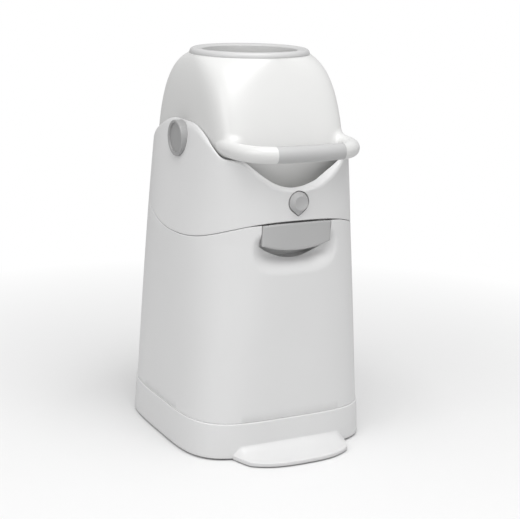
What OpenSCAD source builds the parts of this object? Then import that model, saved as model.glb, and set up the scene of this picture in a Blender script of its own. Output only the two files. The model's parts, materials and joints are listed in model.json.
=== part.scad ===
// Nappy bin with a flip-over drum.
// A tapered bin stands on a plinth with a foot plate. Its hinged head carries a drum that turns
// over on two side pivots; a free piston in the drum's tube pushes the nappy down the chute.
// Millimetres, Z up, front towards -Y. The origin is on the floor under the drum's axis.

/* [Drum] */
// Height of the drum's axis above the floor
axis_z = 470; // [462:1:480]
// From the drum's axis to the top of its rim ring
drum_reach = 133.5; // [130:0.5:136]
// Half the drum's width at its axis
drum_half_w = 106.7; // [104:0.1:107]
// Half the drum's depth at its axis
drum_half_d = 140; // [130:1:144]
// Squareness of the drum's plan at its axis
drum_square = 6.8; // [4:0.1:7]
// Wall of the drum's shells
drum_wall = 3; // [2:0.1:4]
// Outer radius of the rim rings
ring_r = 92.6; // [90:0.1:94]
// Radius of the drum's flat ends
drum_end_r = 94.2; // [93:0.1:96]
// Height of a rim ring above its shell
ring_h = 8.5; // [7:0.1:10]
// How far the mouth's edge lies below the ring's crest
mouth_drop = 3.5; // [2:0.1:5]
// Radius of the mouth inside a rim ring
mouth_r = 73.5; // [68:0.1:75]
// Bore radius of the drum's tube
tube_r = 78; // [76:0.1:79]
// Wall of the drum's tube
tube_wall = 2; // [1.5:0.1:3]

/* [Handle] */
// Reach of the handle's middle in front of the axis
handle_reach = 204.5; // [195:0.5:215]
// Half the span of the handle's path at its roots
handle_half_w = 94.5; // [90:0.5:95]
// Where the handle's roots start in front of the axis
handle_root_y = 108; // [100:1:115]
// Half the width of the soft grip
grip_half_w = 55; // [48:1:62]
// Squareness of the handle's path
handle_square = 3.3; // [2.4:0.1:4]
// Half the grip's height
grip_half_h = 12; // [10:0.5:14]
// Half the grip's thickness
grip_half_t = 11; // [9:0.5:13]
// Half the height of the handle at its roots
root_half_h = 14.5; // [13:0.5:16]

/* [Housing] */
// Half the width of the bin's plan at the floor
base_half_w = 152; // [145:1:158]
// Half the depth of the bin's plan at the floor
base_half_d = 163; // [158:1:170]
// Squareness of the plan at the floor
base_square = 4.4; // [3.5:0.1:5]
// Half the width at the seam between bin and head
seam_half_w = 136.7; // [134:0.1:140]
// Half the depth at the seam
seam_half_d = 171; // [169:0.5:174]
// Squareness of the plan at the seam
seam_square = 3.1; // [2.9:0.1:3.6]
// Half the width across the ears at the drum's axis
ear_half_w = 116.3; // [116:0.1:119]
// Half the depth of the head at the drum's axis
ear_half_d = 171; // [169:0.5:174]
// Squareness of the plan at the drum's axis
ear_square = 3.8; // [3.5:0.1:4.2]
// Wall of the bin and the head
wall = 3; // [2.5:0.1:3.5]
// Lowest height of the seam, at the sides
seam_z = 331; // [325:1:336]
// Rise of the seam from the sides to the front and the rear
arch_rise = 34; // [28:1:38]
// Where along the side the seam is lowest
seam_low_y = -9; // [-20:1:10]
// Open line between the bin and the head
seam_gap = 0.8; // [0.6:0.1:1.2]

/* [Head rim] */
// Top of the ears above the drum's axis
ear_rise = 27; // [24:1:30]
// Half the length of an ear's flat top
ear_flat = 30; // [20:1:40]
// Where an ear's slope ends, in front of and behind the axis
ear_foot = 128; // [122:1:134]
// Fullness of an ear's slope
ear_power = 1.85; // [1.5:0.05:2.1]
// Depth of the low rim below the drum's axis
rim_drop = 14; // [13.5:0.5:20]
// Depth of the finger notch below the drum's axis
notch_drop = 58; // [50:0.5:58]
// Half the width of the finger notch at its top
notch_half_w = 84; // [76:1:88]
// How far the rolled rim leans in at the front
roll_w = 5; // [3:0.5:6]
// How far the rolled rim leans in on the ears
ear_roll_w = 2; // [1.5:0.1:2.5]
// Height of the rolled rim at the front
roll_h = 5; // [3:0.5:7]
// Height of the rolled rim on the ears
ear_roll_h = 9.5; // [6:0.5:11]
// Radius about the axis that the head keeps free for the drum
sweep_r = 161; // [160:0.5:163]

/* [Base] */
// Height of the seam between base and bin
plinth_z = 57.5; // [50:0.5:64]
// How far the base stands proud of the bin
plinth_step = 1.6; // [1:0.1:2.5]
// Thickness of the anti-slip ring under the base
foot_t = 2.3; // [1.5:0.1:3.5]
// Half the width of the foot plate's front edge
plate_half_w = 82; // [74:1:90]
// Reach of the foot plate's middle in front of the base
plate_reach = 53; // [44:1:58]
// How far the foot plate's front edge bows
plate_bow = 18.5; // [12:0.5:24]
// Height of the hollow sweep from the foot plate to the base
plate_rise = 17; // [12:1:24]
// Thickness of the foot plate's edge
plate_t = 6; // [4:0.5:8]

/* [Latch and button] */
// Width of the latch plate
latch_w = 114; // [100:1:118]
// Height of the latch plate's lower corners
latch_corner_z = 330; // [327:1:334]
// How far the latch plate's lower edge dips at its middle
latch_dip = 9.5; // [6:0.5:11]
// How far the latch plate stands proud of the bin
latch_proud = 1.5; // [1:0.1:2.5]
// Thickness of the latch plate
latch_t = 4.5; // [4:0.1:6]
// Height of the latch's pivot
latch_pivot_z = 367; // [366:0.5:369]
// Lower end of the finger scoop under the latch
recess_z = 283.5; // [278:0.5:292]
// Half the width of the finger scoop
scoop_half_w = 70; // [64:1:76]
// Depth of the finger scoop
scoop_depth = 21; // [16:1:22]
// Height of the button's axis
button_z = 393; // [391:0.5:395]
// Radius of the button's base
button_r = 15.5; // [14.5:0.1:16]
// Radius of the button's face
button_face_r = 11; // [10:0.1:12]
// Reach of the teardrop's point below the button's axis
button_tip = 20.2; // [18:0.1:21]
// How far the button stands out of the head
button_out = 9; // [7:0.5:11]
// Radius of the dish in the button's face
dish_r = 10; // [7:0.1:10]
// Depth of the dish in the button's face
dish_depth = 1.6; // [1:0.1:2]
// Travel of the button
button_travel = 4.5; // [4:0.1:5]

/* [Pivots and hinge] */
// Radius of the drum's pivot pins
pivot_r = 8; // [7:0.1:9]
// Radius of the hub caps
hub_r = 27.4; // [25:0.1:29]
// Distance of a hub cap's face from the middle plane
hub_face_x = 125.2; // [124:0.1:128]
// Radius of the head's hinge pin
hinge_pin_r = 2.5; // [2:0.1:3]
// Radius of the hinge's knuckles
knuckle_r = 5.5; // [5:0.1:6]
// Length of the hinge pin
hinge_len = 124; // [110:1:140]

/* [Piston] */
// Height of the piston
piston_h = 34; // [28:1:50]
// Radial gap between the piston and its tube
piston_gap = 0.8; // [0.6:0.1:1.2]

/* [Hidden] */
$fn = 64;

// Colours
white_plastic = "whitesmoke";
inner_white = "gainsboro";
grey_plastic = "darkgray";
dark_rubber = "dimgray";
steel = "silver";

// Clearances
run_fit = 0.05;
slack = 0.3;
eps = 0.01;

// Plan angles of the housing's columns from the front: close at the notch, the latch and the ears
front_cols = [0, 3.5, 7, 12, 17, 22, 26.5, 31, 36, 40.5, 45, 53, 62, 71, 80, 90];
rear_cols = [100, 110, 119, 127, 133, 138.5, 144, 151, 160, 170, 180];
half_cols = concat(front_cols, rear_cols);
housing_cols = concat([for (a = half_cols) a - 90],
    [for (i = [len(half_cols) - 2 : -1 : 1]) 270 - half_cols[i]]);
drum_cols = [for (i = [0 : 47]) i * 7.5];

// Heights and places that follow from the sizes above
drum_top = drum_reach - ring_h;
rim_z = axis_z - rim_drop;
ear_z = axis_z + ear_rise;
notch_z = axis_z - notch_drop;
tube_out = tube_r + tube_wall;
lip_half_w = drum_half_w + 3.5;
lip_square = 9;
lip_t = 3;
flange_w = 7;
groove_h = 2;
deck_t = 3;
floor_z = plinth_z;
hinge_y = seam_half_d + knuckle_r + 3;
hinge_z = seam_z + arch_rise + 0.5;
latch_front = -body_d(latch_pivot_z);
latch_pivot_y = latch_front + 16;
latch_pin_r = 2;
latch_knuckle_r = 4.5;
latch_span = 47;
recess_back_y = latch_front + 23;
recess_floor_z = latch_corner_z - 12;
catch_z = latch_pivot_z - 24;
catch_half_w = 20;
scoop_mid_z = 330;
rim_relief = 1.2;
recess_half_w = latch_w / 2 + 1;
recess_wall = 2.5;
cradle_t = 2.5;
cradle_top = notch_z - 7;
chute_r = tube_out;
chute_z = 288;
hub_seat_x = 112.4;
hub_plate_x = 109.5;
bush_t = 3;
boss_x = 117.4;
boss_r = 13;
screw_r = 2;
pin_flange_r = 14;
pin_flange_t = 4;
pin_end_x = boss_x + 1;
button_front = -body_d(button_z);
button_y = button_front - button_out;
guide_y = button_front + 8;
button_back_y = guide_y - button_travel - 0.5;
guide_t = 3;
nose_y = guide_y + 6;
stem_r = 6;

function lerp(a, b, t) = a + (b - a) * t;
function clamp01(u) = min(1, max(0, u));
function smooth(u) = let (c = clamp01(u)) c * c * (3 - 2 * c);
function reversed(list) = [for (i = [len(list) - 1 : -1 : 0]) list[i]];

// Radius of a superellipse of half-sizes a and b and squareness n at plan angle t
function plan_r(a, b, n, t) = pow(pow(abs(cos(t)) / a, n) + pow(abs(sin(t)) / b, n), -1 / n);
function on_plan(a, b, n, t, z) = let (r = plan_r(a, b, n, t)) [r * cos(t), r * sin(t), z];

// The housing's plan at a height: one taper from floor to seam, another from seam to ears
function taper(z, low, mid, high) = z < seam_z
    ? lerp(low, mid, z / seam_z)
    : lerp(mid, high, (z - seam_z) / (axis_z - seam_z));
function body_w(z) = taper(z, base_half_w, seam_half_w, ear_half_w);
function body_d(z) = taper(z, base_half_d, seam_half_d, ear_half_d);
function body_n(z) = taper(z, base_square, seam_square, ear_square);
function body_pt(t, z, inset = 0) = on_plan(body_w(z) - inset, body_d(z) - inset, body_n(z), t, z);

// The front face's y at a place on it
function front_y(x, z, inset = 0) = -(body_d(z) - inset)
    * pow(1 - pow(abs(x) / (body_w(z) - inset), body_n(z)), 1 / body_n(z));

// Height of the seam: lowest at the sides, rising to the front and the rear
function seam_rise(y) = y < seam_low_y
    ? pow((seam_low_y - y) / (seam_half_d + seam_low_y), 2.7)
    : smooth((y - seam_low_y) / (seam_half_d - seam_low_y));
function seam_at(y) = seam_z + arch_rise * seam_rise(y);
function seam(t) = seam_at(body_pt(t, seam_z)[1]);

// Height of the head's rim: flat ears, a slope to the low rim, and the notch at the front
function ear_slope(y) = lerp(ear_z, rim_z,
    pow(clamp01((abs(y) - ear_flat) / (ear_foot - ear_flat)), ear_power));
function notch(x) = lerp(notch_z, rim_z, pow(min(1, abs(x) / notch_half_w), 2));
function rim_at(p) = p[1] < 0 && abs(p[0]) < notch_half_w ? notch(p[0]) : ear_slope(p[1]);
function rim(t) = rim_at(body_pt(t, rim_z));
function ear_part(z) = clamp01((z - rim_z) / (ear_z - rim_z));
function roll_in(t) = lerp(ear_roll_w, roll_w, smooth((abs(body_pt(t, rim_z)[1]) - 138) / 20));
function roll_up(z) = lerp(roll_h, ear_roll_h, ear_part(z));

// The rim's inner lip keeps clear of the turning drum
function lip_d(z) = sqrt(sweep_r * sweep_r - (z - axis_z) * (z - axis_z));
function lip_pt(t, z, zz) = let (
    r = min(plan_r(lip_half_w, lip_d(z), lip_square, t),
        plan_r(body_w(z) - ear_roll_w, body_d(z) - ear_roll_w, body_n(z), t)))
    [r * cos(t), r * sin(t), zz];

// The drum's plan at a distance above or below its axis
function drum_f(h, rise, bulge) = pow(1 - pow(clamp01(h / drum_top), rise), 1 / bulge);
function drum_w(h) = lerp(drum_end_r, drum_half_w, drum_f(h, 4.25, 1.27));
function drum_d(h) = lerp(drum_end_r, drum_half_d, drum_f(h, 1.19, 1));
function drum_n(h) = lerp(2, drum_square, drum_f(h, 2.37, 1));
function drum_pt(t, h, inset = 0) = on_plan(drum_w(h) - inset, drum_d(h) - inset, drum_n(h), t, h);

// A closed skin through rings of points; ring follows ring, and the ends are capped or joined
module skin(rings, joined = false) {
    n = len(rings[0]);
    m = len(rings);
    last = joined ? m - 1 : m - 2;
    sides = [for (i = [0 : last], j = [0 : n - 1], k = [0, 1])
        let (a = i * n + j, b = i * n + (j + 1) % n,
            c = ((i + 1) % m) * n + j, d = ((i + 1) % m) * n + (j + 1) % n)
        k == 0 ? [a, c, d] : [a, d, b]];
    caps = joined ? [] : [[for (j = [0 : n - 1]) j], [for (j = [n - 1 : -1 : 0]) (m - 1) * n + j]];
    polyhedron([for (r = rings, p = r) p], concat(sides, caps), convexity = 8);
}

// A solid of revolution about the X axis, from points given as [x, radius]
module lathe_x(pts, fn = 64) {
    rotate([0, 90, 0]) rotate_extrude($fn = fn) polygon([for (p = pts) [p[1], p[0]]]);
}

module rod_x(r, x0, x1, y = 0, z = 0) {
    translate([x0, y, z]) rotate([0, 90, 0]) cylinder(r = r, h = x1 - x0);
}

module rod_y(r, y0, y1, x = 0, z = 0) {
    translate([x, y0, z]) rotate([-90, 0, 0]) cylinder(r = r, h = y1 - y0);
}

module block(lo, hi) {
    translate(lo) cube(hi - lo);
}

// A coil of round wire along +Z with a straight leg at each end
module coil(mean_r, wire_r, pitch, turns, leg = 0, steps = 12, sides = 6) {
    count = turns * steps;
    function spot(i) = let (a = i * 360 / steps) [mean_r * cos(a), mean_r * sin(a), pitch * i / steps];
    function shift(i, s) = let (a = i * 360 / steps) [-sin(a) * s, cos(a) * s, 0];
    function ring(i, s = 0) = let (a = i * 360 / steps, c = spot(i) + shift(i, s))
        [for (k = [0 : sides - 1]) let (q = -k * 360 / sides)
            c + wire_r * [cos(q) * cos(a), cos(q) * sin(a), sin(q)]];
    body = [for (i = [0 : count]) ring(i)];
    skin(leg > 0 ? concat([ring(0, -leg)], body, [ring(count, leg)]) : body);
}

// Base: a hollow plinth with a closed deck, a moulded foot plate and screw holes
screw_places = [for (sx = [-1, 1], sy = [-1, 1]) [sx * 92, sy * 104]];

module foot_plate() {
    tip = plate_half_w + 14;
    top = foot_t + plate_t;
    ends = [tip - 0.5, tip - 5, tip - 10];
    xs = concat([for (e = ends) -e], [for (i = [-6 : 6]) plate_half_w * i / 6], reversed(ends));
    section = function (x) let (
        part = clamp01((tip - abs(x)) / (tip - plate_half_w)),
        wall_y = front_y(x, top, -plinth_step) + 0.5,
        reach = (plate_reach - plate_bow * pow(min(1, abs(x) / plate_half_w), 2.8)) * part,
        front = wall_y - reach, rise = plate_rise * part)
        concat([[x, wall_y + 2, foot_t], [x, front + 0.6, foot_t]],
            [[x, front, foot_t + 0.8], [x, front, top - 1]],
            [for (a = [0 : 11.25 : 90]) [x, lerp(front + 0.7, wall_y, sin(a)), top + rise * (1 - cos(a))]],
            [[x, wall_y + 2, top + rise]]);
    skin([for (x = xs) reversed(section(x))]);
}

module base() {
    color(white_plastic) {
        ring = function (z, inset) [for (t = housing_cols) body_pt(t, z, inset)];
        deck_z = plinth_z - deck_t;
        rim_in = 16;
        difference() {
            minkowski() {
                union() {
                    skin([ring(deck_z, wall - plinth_step), ring(foot_t + 12, wall - plinth_step),
                        ring(foot_t + 3, wall + 2), ring(foot_t + 3, rim_in), ring(foot_t, rim_in),
                        ring(foot_t, 1), ring(foot_t + 2, -plinth_step + 0.6),
                        ring(foot_t + 6, -plinth_step), ring(plinth_z / 2, -plinth_step),
                        ring(plinth_z - 1, -plinth_step), ring(plinth_z, 1 - plinth_step)]);
                    foot_plate();
                }
            }
            for (p = screw_places) translate([p[0], p[1], deck_z - 1])
                cylinder(r = screw_r + slack, h = deck_t + 2);
        }
    }
}

module anti_slip_ring() {
    color(dark_rubber) difference() {
        linear_extrude(foot_t) polygon([for (t = housing_cols) let (p = body_pt(t, 0, 4)) [p[0], p[1]]]);
        translate([0, 0, -1]) linear_extrude(foot_t + 2)
            polygon([for (t = housing_cols) let (p = body_pt(t, 0, 13)) [p[0], p[1]]]);
    }
}

module screw(head_r, head_h, shank, length) {
    translate([0, 0, -head_h]) cylinder(r = head_r, h = head_h);
    translate([0, 0, -eps]) cylinder(r = shank, h = length);
}

module base_screws() {
    color(steel) for (p = screw_places) translate([p[0], p[1], plinth_z - deck_t])
        screw(4, 2.5, screw_r, deck_t + 11);
}

// Bin body: a tapered shell with a floor, a rim flange and the latch's recess
function scoop_section(x, grow, out, back) = let (
    w = scoop_half_w + grow,
    q = pow(1 - pow(abs(x) / w, 3.5), 1 / 3.5),
    low = scoop_mid_z - (scoop_mid_z - recess_z + grow) * q,
    high = scoop_mid_z + (26 + grow) * q,
    depth = scoop_depth * (1 - pow(abs(x) / w, 3)) + grow * q)
    concat([[x, front_y(x, low) - out, low]],
        [for (i = [0 : 10]) let (v = i / 10, z = lerp(low, high, v))
            [x, front_y(x, z) + back + depth * smooth(v / 0.62) * (1 - smooth((v - 0.62) / 0.38)), z]],
        [[x, front_y(x, high) - out, high]]);

module scoop(grow, out, back) {
    w = scoop_half_w + grow;
    skin([for (f = [-0.998, -0.98, -0.95, -0.9, -0.83, -0.74, -0.6, -0.4, -0.2, 0,
        0.2, 0.4, 0.6, 0.74, 0.83, 0.9, 0.95, 0.98, 0.998]) scoop_section(f * w, grow, out, back)]);
}

module recess_block() {
    back = recess_back_y + recess_wall;
    side = recess_half_w + recess_wall;
    block([-side, latch_front + 5, recess_floor_z - 3], [side, back, latch_pivot_z - 8]);
    scoop(recess_wall, -1, 1.5);
}

module recess_void() {
    block([-recess_half_w, latch_front - 12, recess_floor_z],
        [recess_half_w, recess_back_y, latch_pivot_z + 30]);
    scoop(0, 8, -0.35);
}

// The catch that the latch's hook drops behind
module catch_rib() {
    block([-catch_half_w, recess_back_y - 4.5, catch_z], [catch_half_w, recess_back_y + 1, catch_z + 5]);
}

module bin_knuckles() {
    for (x0 = [-hinge_len / 2, -12, hinge_len / 2 - 24]) {
        rod_x(knuckle_r, x0, x0 + 24, hinge_y, hinge_z);
        block([x0, seam_half_d - 4, hinge_z - 18], [x0 + 24, hinge_y + 1, hinge_z - 3]);
    }
}

module bin_body() {
    rows = 4;
    relief = function (p) p[1] < 0 ? rim_relief * (1 - smooth((abs(p[0]) - recess_half_w) / 22)) : 0;
    top = function (t) seam(t) - seam_gap / 2 - relief(body_pt(t, seam_z));
    ring = function (inset, drop) [for (t = housing_cols) body_pt(t, top(t) - drop, inset)];
    side = function (inset, low, f, drop)
        [for (t = housing_cols) body_pt(t, lerp(low, top(t) - drop, f), inset)];
    color(white_plastic) difference() {
        union() {
            minkowski() {
                difference() {
                    union() {
                        skin(concat([side(0.8, floor_z, 0, 1)], [side(0, floor_z + 1, 0, 1)],
                            [for (i = [1 : rows]) side(0, floor_z + 1, i / rows, 1)],
                            [ring(1, 0), ring(flange_w, 0), ring(flange_w, 4), ring(wall, 9)],
                            [for (i = [rows - 1 : -1 : 0]) side(wall, floor_z + deck_t, i / rows, 9)]));
                        recess_block();
                    }
                    recess_void();
                }
            }
            catch_rib();
            bin_knuckles();
            for (p = screw_places) translate([p[0], p[1], floor_z]) cylinder(r = 6, h = 14);
        }
        rod_x(hinge_pin_r + run_fit, -hinge_len, hinge_len, hinge_y, hinge_z);
        for (p = screw_places) translate([p[0], p[1], floor_z - 1]) cylinder(r = screw_r + run_fit, h = 13);
    }
}

module hinge_pin() {
    color(steel) rod_x(hinge_pin_r, -hinge_len / 2 - 1, hinge_len / 2 + 1, hinge_y, hinge_z);
}

// Head shell: side ears, rolled rim, finger notch, pivot seats, latch and button mounts
module teardrop(r, tip) {
    a = acos(r / tip);
    circle(r);
    polygon([[-r * sin(a), -r * cos(a)], [0, -tip], [r * sin(a), -r * cos(a)]]);
}

module teardrop_y(r, tip, y0, y1) {
    translate([0, y1, button_z]) rotate([90, 0, 0]) linear_extrude(y1 - y0) teardrop(r, tip);
}

boss_places = [for (sx = [-1, 1], sy = [-1, 1]) [sx * (body_w(cradle_top + 26) - wall - 3.2), sy * 62]];

module head_knuckles() {
    for (x0 = [-hinge_len / 2 + 24.4, 12.4]) {
        x1 = x0 + hinge_len / 2 - 36.8;
        rod_x(knuckle_r, x0, x1, hinge_y, hinge_z);
        block([x0, seam_half_d - 3.5, hinge_z + 2], [x1, hinge_y + 1, hinge_z + 16]);
    }
}

module latch_mounts() {
    for (s = [-1, 1]) mirror([s > 0 ? 0 : 1, 0, 0]) {
        rod_x(latch_knuckle_r, latch_span - 6, latch_span, latch_pivot_y, latch_pivot_z);
        block([latch_span - 6, front_y(latch_span, latch_pivot_z + 8, 1), latch_pivot_z + 0.5],
            [latch_span, latch_pivot_y + latch_knuckle_r, latch_pivot_z + 15]);
    }
}

module hub_mount() {
    top = ear_z - ear_roll_h;
    intersection() {
        rod_x(hub_r + 2, hub_plate_x, hub_plate_x + 14, 0, axis_z);
        translate([0, 40, 0]) rotate([90, 0, 0]) linear_extrude(80) polygon([[hub_plate_x, top - 60],
            [body_w(top - 60) - 0.6, top - 60], [body_w(top) - 0.6, top], [hub_plate_x + 0.4, ear_z - 1],
            [hub_plate_x, ear_z - 1]]);
    }
}

module button_guide() {
    top = notch_z - 8;
    low = latch_pivot_z + 8;
    block([-22, guide_y, low], [22, guide_y + guide_t, top]);
    for (x = [-22, 20]) block([x, button_front + 1.5, low], [x + 2, guide_y + 1, top]);
}

module head_shell() {
    bottom = function (t) seam(t) + seam_gap / 2;
    low = function (inset, lift) [for (t = housing_cols) body_pt(t, bottom(t) + lift, inset)];
    side = function (inset, lift, drop, f) [for (t = housing_cols)
        body_pt(t, lerp(bottom(t) + lift, rim(t) - roll_up(rim(t)) - drop, f), inset)];
    rolled = function (a) [for (t = housing_cols) let (z = rim(t))
        body_pt(t, z - roll_up(z) * (1 - sin(a)), roll_in(t) * (1 - cos(a)))];
    lip = function (drop) [for (t = housing_cols) lip_pt(t, rim(t), rim(t) - drop)];
    color(white_plastic) difference() {
        union() {
            skin(concat([low(1, 0)],
                [for (i = [0 : 5]) side(0, 1, 0, i / 5)],
                [rolled(30), rolled(60), rolled(90), lip(1), lip(lip_t)],
                [side(wall, 8, lip_t, 1), side(wall, 8, lip_t, 0.6), side(wall, 8, lip_t, 0.3)],
                [low(wall, 8), low(flange_w, 4), low(flange_w, 0), low(flange_w - 0.6, 0),
                    low(flange_w - 0.6, groove_h), low(3, groove_h), low(3, 0)]), joined = true);
            for (s = [-1, 1]) {
                mirror([s > 0 ? 0 : 1, 0, 0]) hub_mount();
                rod_x(boss_r, s > 0 ? hub_plate_x : -boss_x, s > 0 ? boss_x : -hub_plate_x, 0, axis_z);
            }
            head_knuckles();
            latch_mounts();
            button_guide();
            for (p = boss_places) translate([p[0], p[1], cradle_top]) cylinder(r = 4, h = 26);
        }
        for (s = [-1, 1]) difference() {
            rod_x(hub_r + slack, s > 0 ? hub_seat_x : -hub_seat_x - 20,
                s > 0 ? hub_seat_x + 20 : -hub_seat_x, 0, axis_z);
            rod_x(boss_r, s > 0 ? hub_plate_x : -boss_x, s > 0 ? boss_x : -hub_plate_x, 0, axis_z);
        }
        rod_x(pivot_r + bush_t + run_fit, -ear_half_w - 5, ear_half_w + 5, 0, axis_z);
        rod_x(hinge_pin_r + run_fit, -hinge_len, hinge_len, hinge_y, hinge_z);
        rod_x(latch_pin_r + run_fit, -latch_span - 1, latch_span + 1, latch_pivot_y, latch_pivot_z);
        teardrop_y(button_r + slack, button_tip + slack, button_y - 10, guide_y - 0.25);
        rod_y(stem_r + run_fit, guide_y - 1, guide_y + guide_t + 1, 0, button_z);
        for (p = boss_places) translate([p[0], p[1], cradle_top - 1])
            cylinder(r = screw_r + run_fit, h = 15);
    }
}

// Cradle: a half barrel under the drum with a round chute
barrel = [[0, 161], [20, 160], [40, 157.2], [60, 151.4], [80, 143.4], [94, 136.4], [101, 126],
    [105.5, 113], [108.8, 93]];
tab_x = barrel[len(barrel) - 1][0] + cradle_t / 2;
tab_t = 2.5;
function barrel_pts(grow) = let (
    last = len(barrel) - 1,
    widen = function (i) i == last ? grow : i == 0 ? 0 : 0.3 * grow,
    edge = barrel[last][0] + grow)
    concat([[-edge, 0]],
        [for (i = [last : -1 : 1]) [-barrel[i][0] - widen(i), barrel[i][1] + grow]],
        [for (i = [0 : last]) [barrel[i][0] + widen(i), barrel[i][1] + grow]],
        [[edge, 0]]);

module cradle() {
    deep = barrel[0][1];
    half_x = barrel[len(barrel) - 1][0] + 10;
    color(inner_white) difference() {
        union() {
            difference() {
                union() {
                    translate([0, 0, axis_z]) lathe_x(barrel_pts(cradle_t), 96);
                    translate([0, 0, chute_z])
                        cylinder(r = chute_r + cradle_t, h = axis_z - chute_z - 0.75 * deep);
                }
                translate([0, 0, axis_z]) lathe_x(barrel_pts(0), 96);
                translate([0, 0, chute_z - 1]) cylinder(r = chute_r, h = axis_z - chute_z - 0.6 * deep);
                block([-half_x, -deep - 10, cradle_top], [half_x, deep + 10, axis_z + deep + 10]);
            }
            for (p = boss_places) block([min(p[0], sign(p[0]) * tab_x), p[1] - 6, cradle_top - tab_t],
                [max(p[0], sign(p[0]) * tab_x), p[1] + 6, cradle_top]);
            for (p = boss_places) translate([p[0], p[1], cradle_top - tab_t]) cylinder(r = 3.6, h = tab_t);
        }
        for (p = boss_places) translate([p[0], p[1], cradle_top - 2 * tab_t])
            cylinder(r = screw_r + slack, h = 3 * tab_t);
    }
}

module cradle_screws() {
    color(steel) for (p = boss_places) translate([p[0], p[1], cradle_top - tab_t])
        screw(3.4, 2, screw_r, 13);
}

module lid_gasket() {
    bottom = function (t) seam(t) - seam_gap / 2 + slack;
    top = function (t) seam(t) + seam_gap / 2 + groove_h - 0.15;
    line = function (f, inset) [for (t = housing_cols) body_pt(t, f(t), inset)];
    color(dark_rubber)
        skin([line(bottom, 3.2), line(top, 3.2), line(top, 6.2), line(bottom, 6.2)], joined = true);
}

module bush(s) {
    flange_x = drum_half_w + 1.3;
    pts = [[flange_x, pivot_r + run_fit], [boss_x, pivot_r + run_fit], [boss_x, pivot_r + bush_t],
        [hub_plate_x - 0.05, pivot_r + bush_t], [hub_plate_x - 0.05, boss_r], [flange_x, boss_r]];
    translate([0, 0, axis_z]) mirror([s > 0 ? 0 : 1, 0, 0]) lathe_x(pts);
}

module left_bush() {
    color(grey_plastic) bush(-1);
}

module right_bush() {
    color(grey_plastic) bush(1);
}

// Hub cap: a dished disc with a raised rim that closes the pivot
module hub_cap(s) {
    face = hub_face_x;
    back = hub_seat_x + 0.05;
    pts = [[back, hub_r - 2.5], [back, hub_r], [face - 1.5, hub_r], [face - 0.5, hub_r - 0.5],
        [face, hub_r - 1.5], [face, hub_r - 3.2], [face - 0.5, hub_r - 4], [face - 1.6, hub_r - 4.6],
        [face - 1.6, 0], [face - 4, 0], [face - 4, hub_r - 2.5]];
    translate([0, 0, axis_z]) mirror([s > 0 ? 0 : 1, 0, 0]) lathe_x(pts, 96);
}

module left_hub_cap() {
    color(grey_plastic) hub_cap(-1);
}

module right_hub_cap() {
    color(grey_plastic) hub_cap(1);
}

// Latch lever: the grey plate, its hook, its lugs and the arm that the button pushes
module latch_plate() {
    half = latch_w / 2;
    cols = 12;
    xs = [for (i = [0 : cols]) lerp(-half, half, i / cols)];
    function low(x) = latch_corner_z - latch_dip * (1 - pow(x / half, 2));
    function high(x) = seam_at(front_y(x, seam_z + arch_rise)) - 1.4;
    function face(x, f, proud) = let (z = lerp(low(x), high(x), f)) [x, front_y(x, z) - proud, z];
    section = function (x, e) [face(x, 1 - 2 * e, latch_proud - latch_t), face(x, 1 - e, latch_proud - 1.2),
        face(x, 1 - e * 3, latch_proud), face(x, e * 3, latch_proud),
        face(x, e, latch_proud - 1.2), face(x, e, latch_proud - latch_t)];
    skin([for (x = xs) section(x, 0.02)]);
}

module latch_lever() {
    hook_front = recess_back_y - 4.3;
    hook_back = recess_back_y - 1.5;
    hook_z = catch_z - 2;
    hook_half_w = catch_half_w - 2;
    arm_y = latch_pivot_y - 1.6;
    lug_x = 40;
    color(grey_plastic) difference() {
        union() {
            latch_plate();
            block([-hook_half_w, latch_front + 1, hook_z - 4], [hook_half_w, hook_back, hook_z]);
            block([-hook_half_w, hook_front, hook_z - eps], [hook_half_w, hook_back, catch_z - 0.4]);
            for (x = [-lug_x, lug_x - 10]) {
                rod_x(latch_knuckle_r, x, x + 10, latch_pivot_y, latch_pivot_z);
                block([x, front_y(lug_x, catch_z + 7, 3), catch_z + 2],
                    [x + 10, latch_pivot_y + 2, latch_pivot_z - 10]);
                block([x, latch_pivot_y - latch_knuckle_r, latch_pivot_z - 15],
                    [x + 10, latch_pivot_y + latch_knuckle_r, latch_pivot_z]);
            }
            rod_x(latch_knuckle_r, -8, 8, latch_pivot_y, latch_pivot_z);
            rod_x(latch_pin_r + 1.2, -lug_x, lug_x, latch_pivot_y, latch_pivot_z);
            block([-8, arm_y, latch_pivot_z], [8, arm_y + 3, button_z + 5]);
        }
        rod_x(latch_pin_r + run_fit, -lug_x - 20, lug_x + 20, latch_pivot_y, latch_pivot_z);
    }
}

module latch_pin() {
    color(steel) rod_x(latch_pin_r, -latch_span, latch_span, latch_pivot_y, latch_pivot_z);
}

module latch_spring() {
    color(steel) translate([12, latch_pivot_y, latch_pivot_z]) rotate([0, 90, 0]) coil(4.3, 0.5, 1.4, 6, 9);
}

// Button: a hollow cone with a teardrop base, a dished face and a guide stem
module button() {
    dish_ball_r = (dish_r * dish_r + dish_depth * dish_depth) / (2 * dish_depth);
    hollow_y = button_y + 4;
    color(grey_plastic) difference() {
        union() {
            hull() {
                teardrop_y(button_r, button_tip, button_front - 1, button_back_y);
                teardrop_y(button_r - 1, button_tip - 1.5, button_front - 2, button_back_y - 1);
            }
            translate([0, button_y, button_z]) rotate([-90, 0, 0])
                cylinder(r1 = button_face_r, r2 = button_r - 1.2, h = button_out - 1.5);
            rod_y(stem_r, hollow_y - 0.5, nose_y - 3, 0, button_z);
            rod_y(3, nose_y - 3 - eps, nose_y, 0, button_z);
        }
        difference() {
            rod_y(button_r - 4.5, hollow_y, button_back_y + 1, 0, button_z);
            rod_y(stem_r, hollow_y - 1, button_back_y + 2, 0, button_z);
        }
        translate([0, button_y + dish_depth - dish_ball_r, button_z]) sphere(r = dish_ball_r);
    }
}

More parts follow.
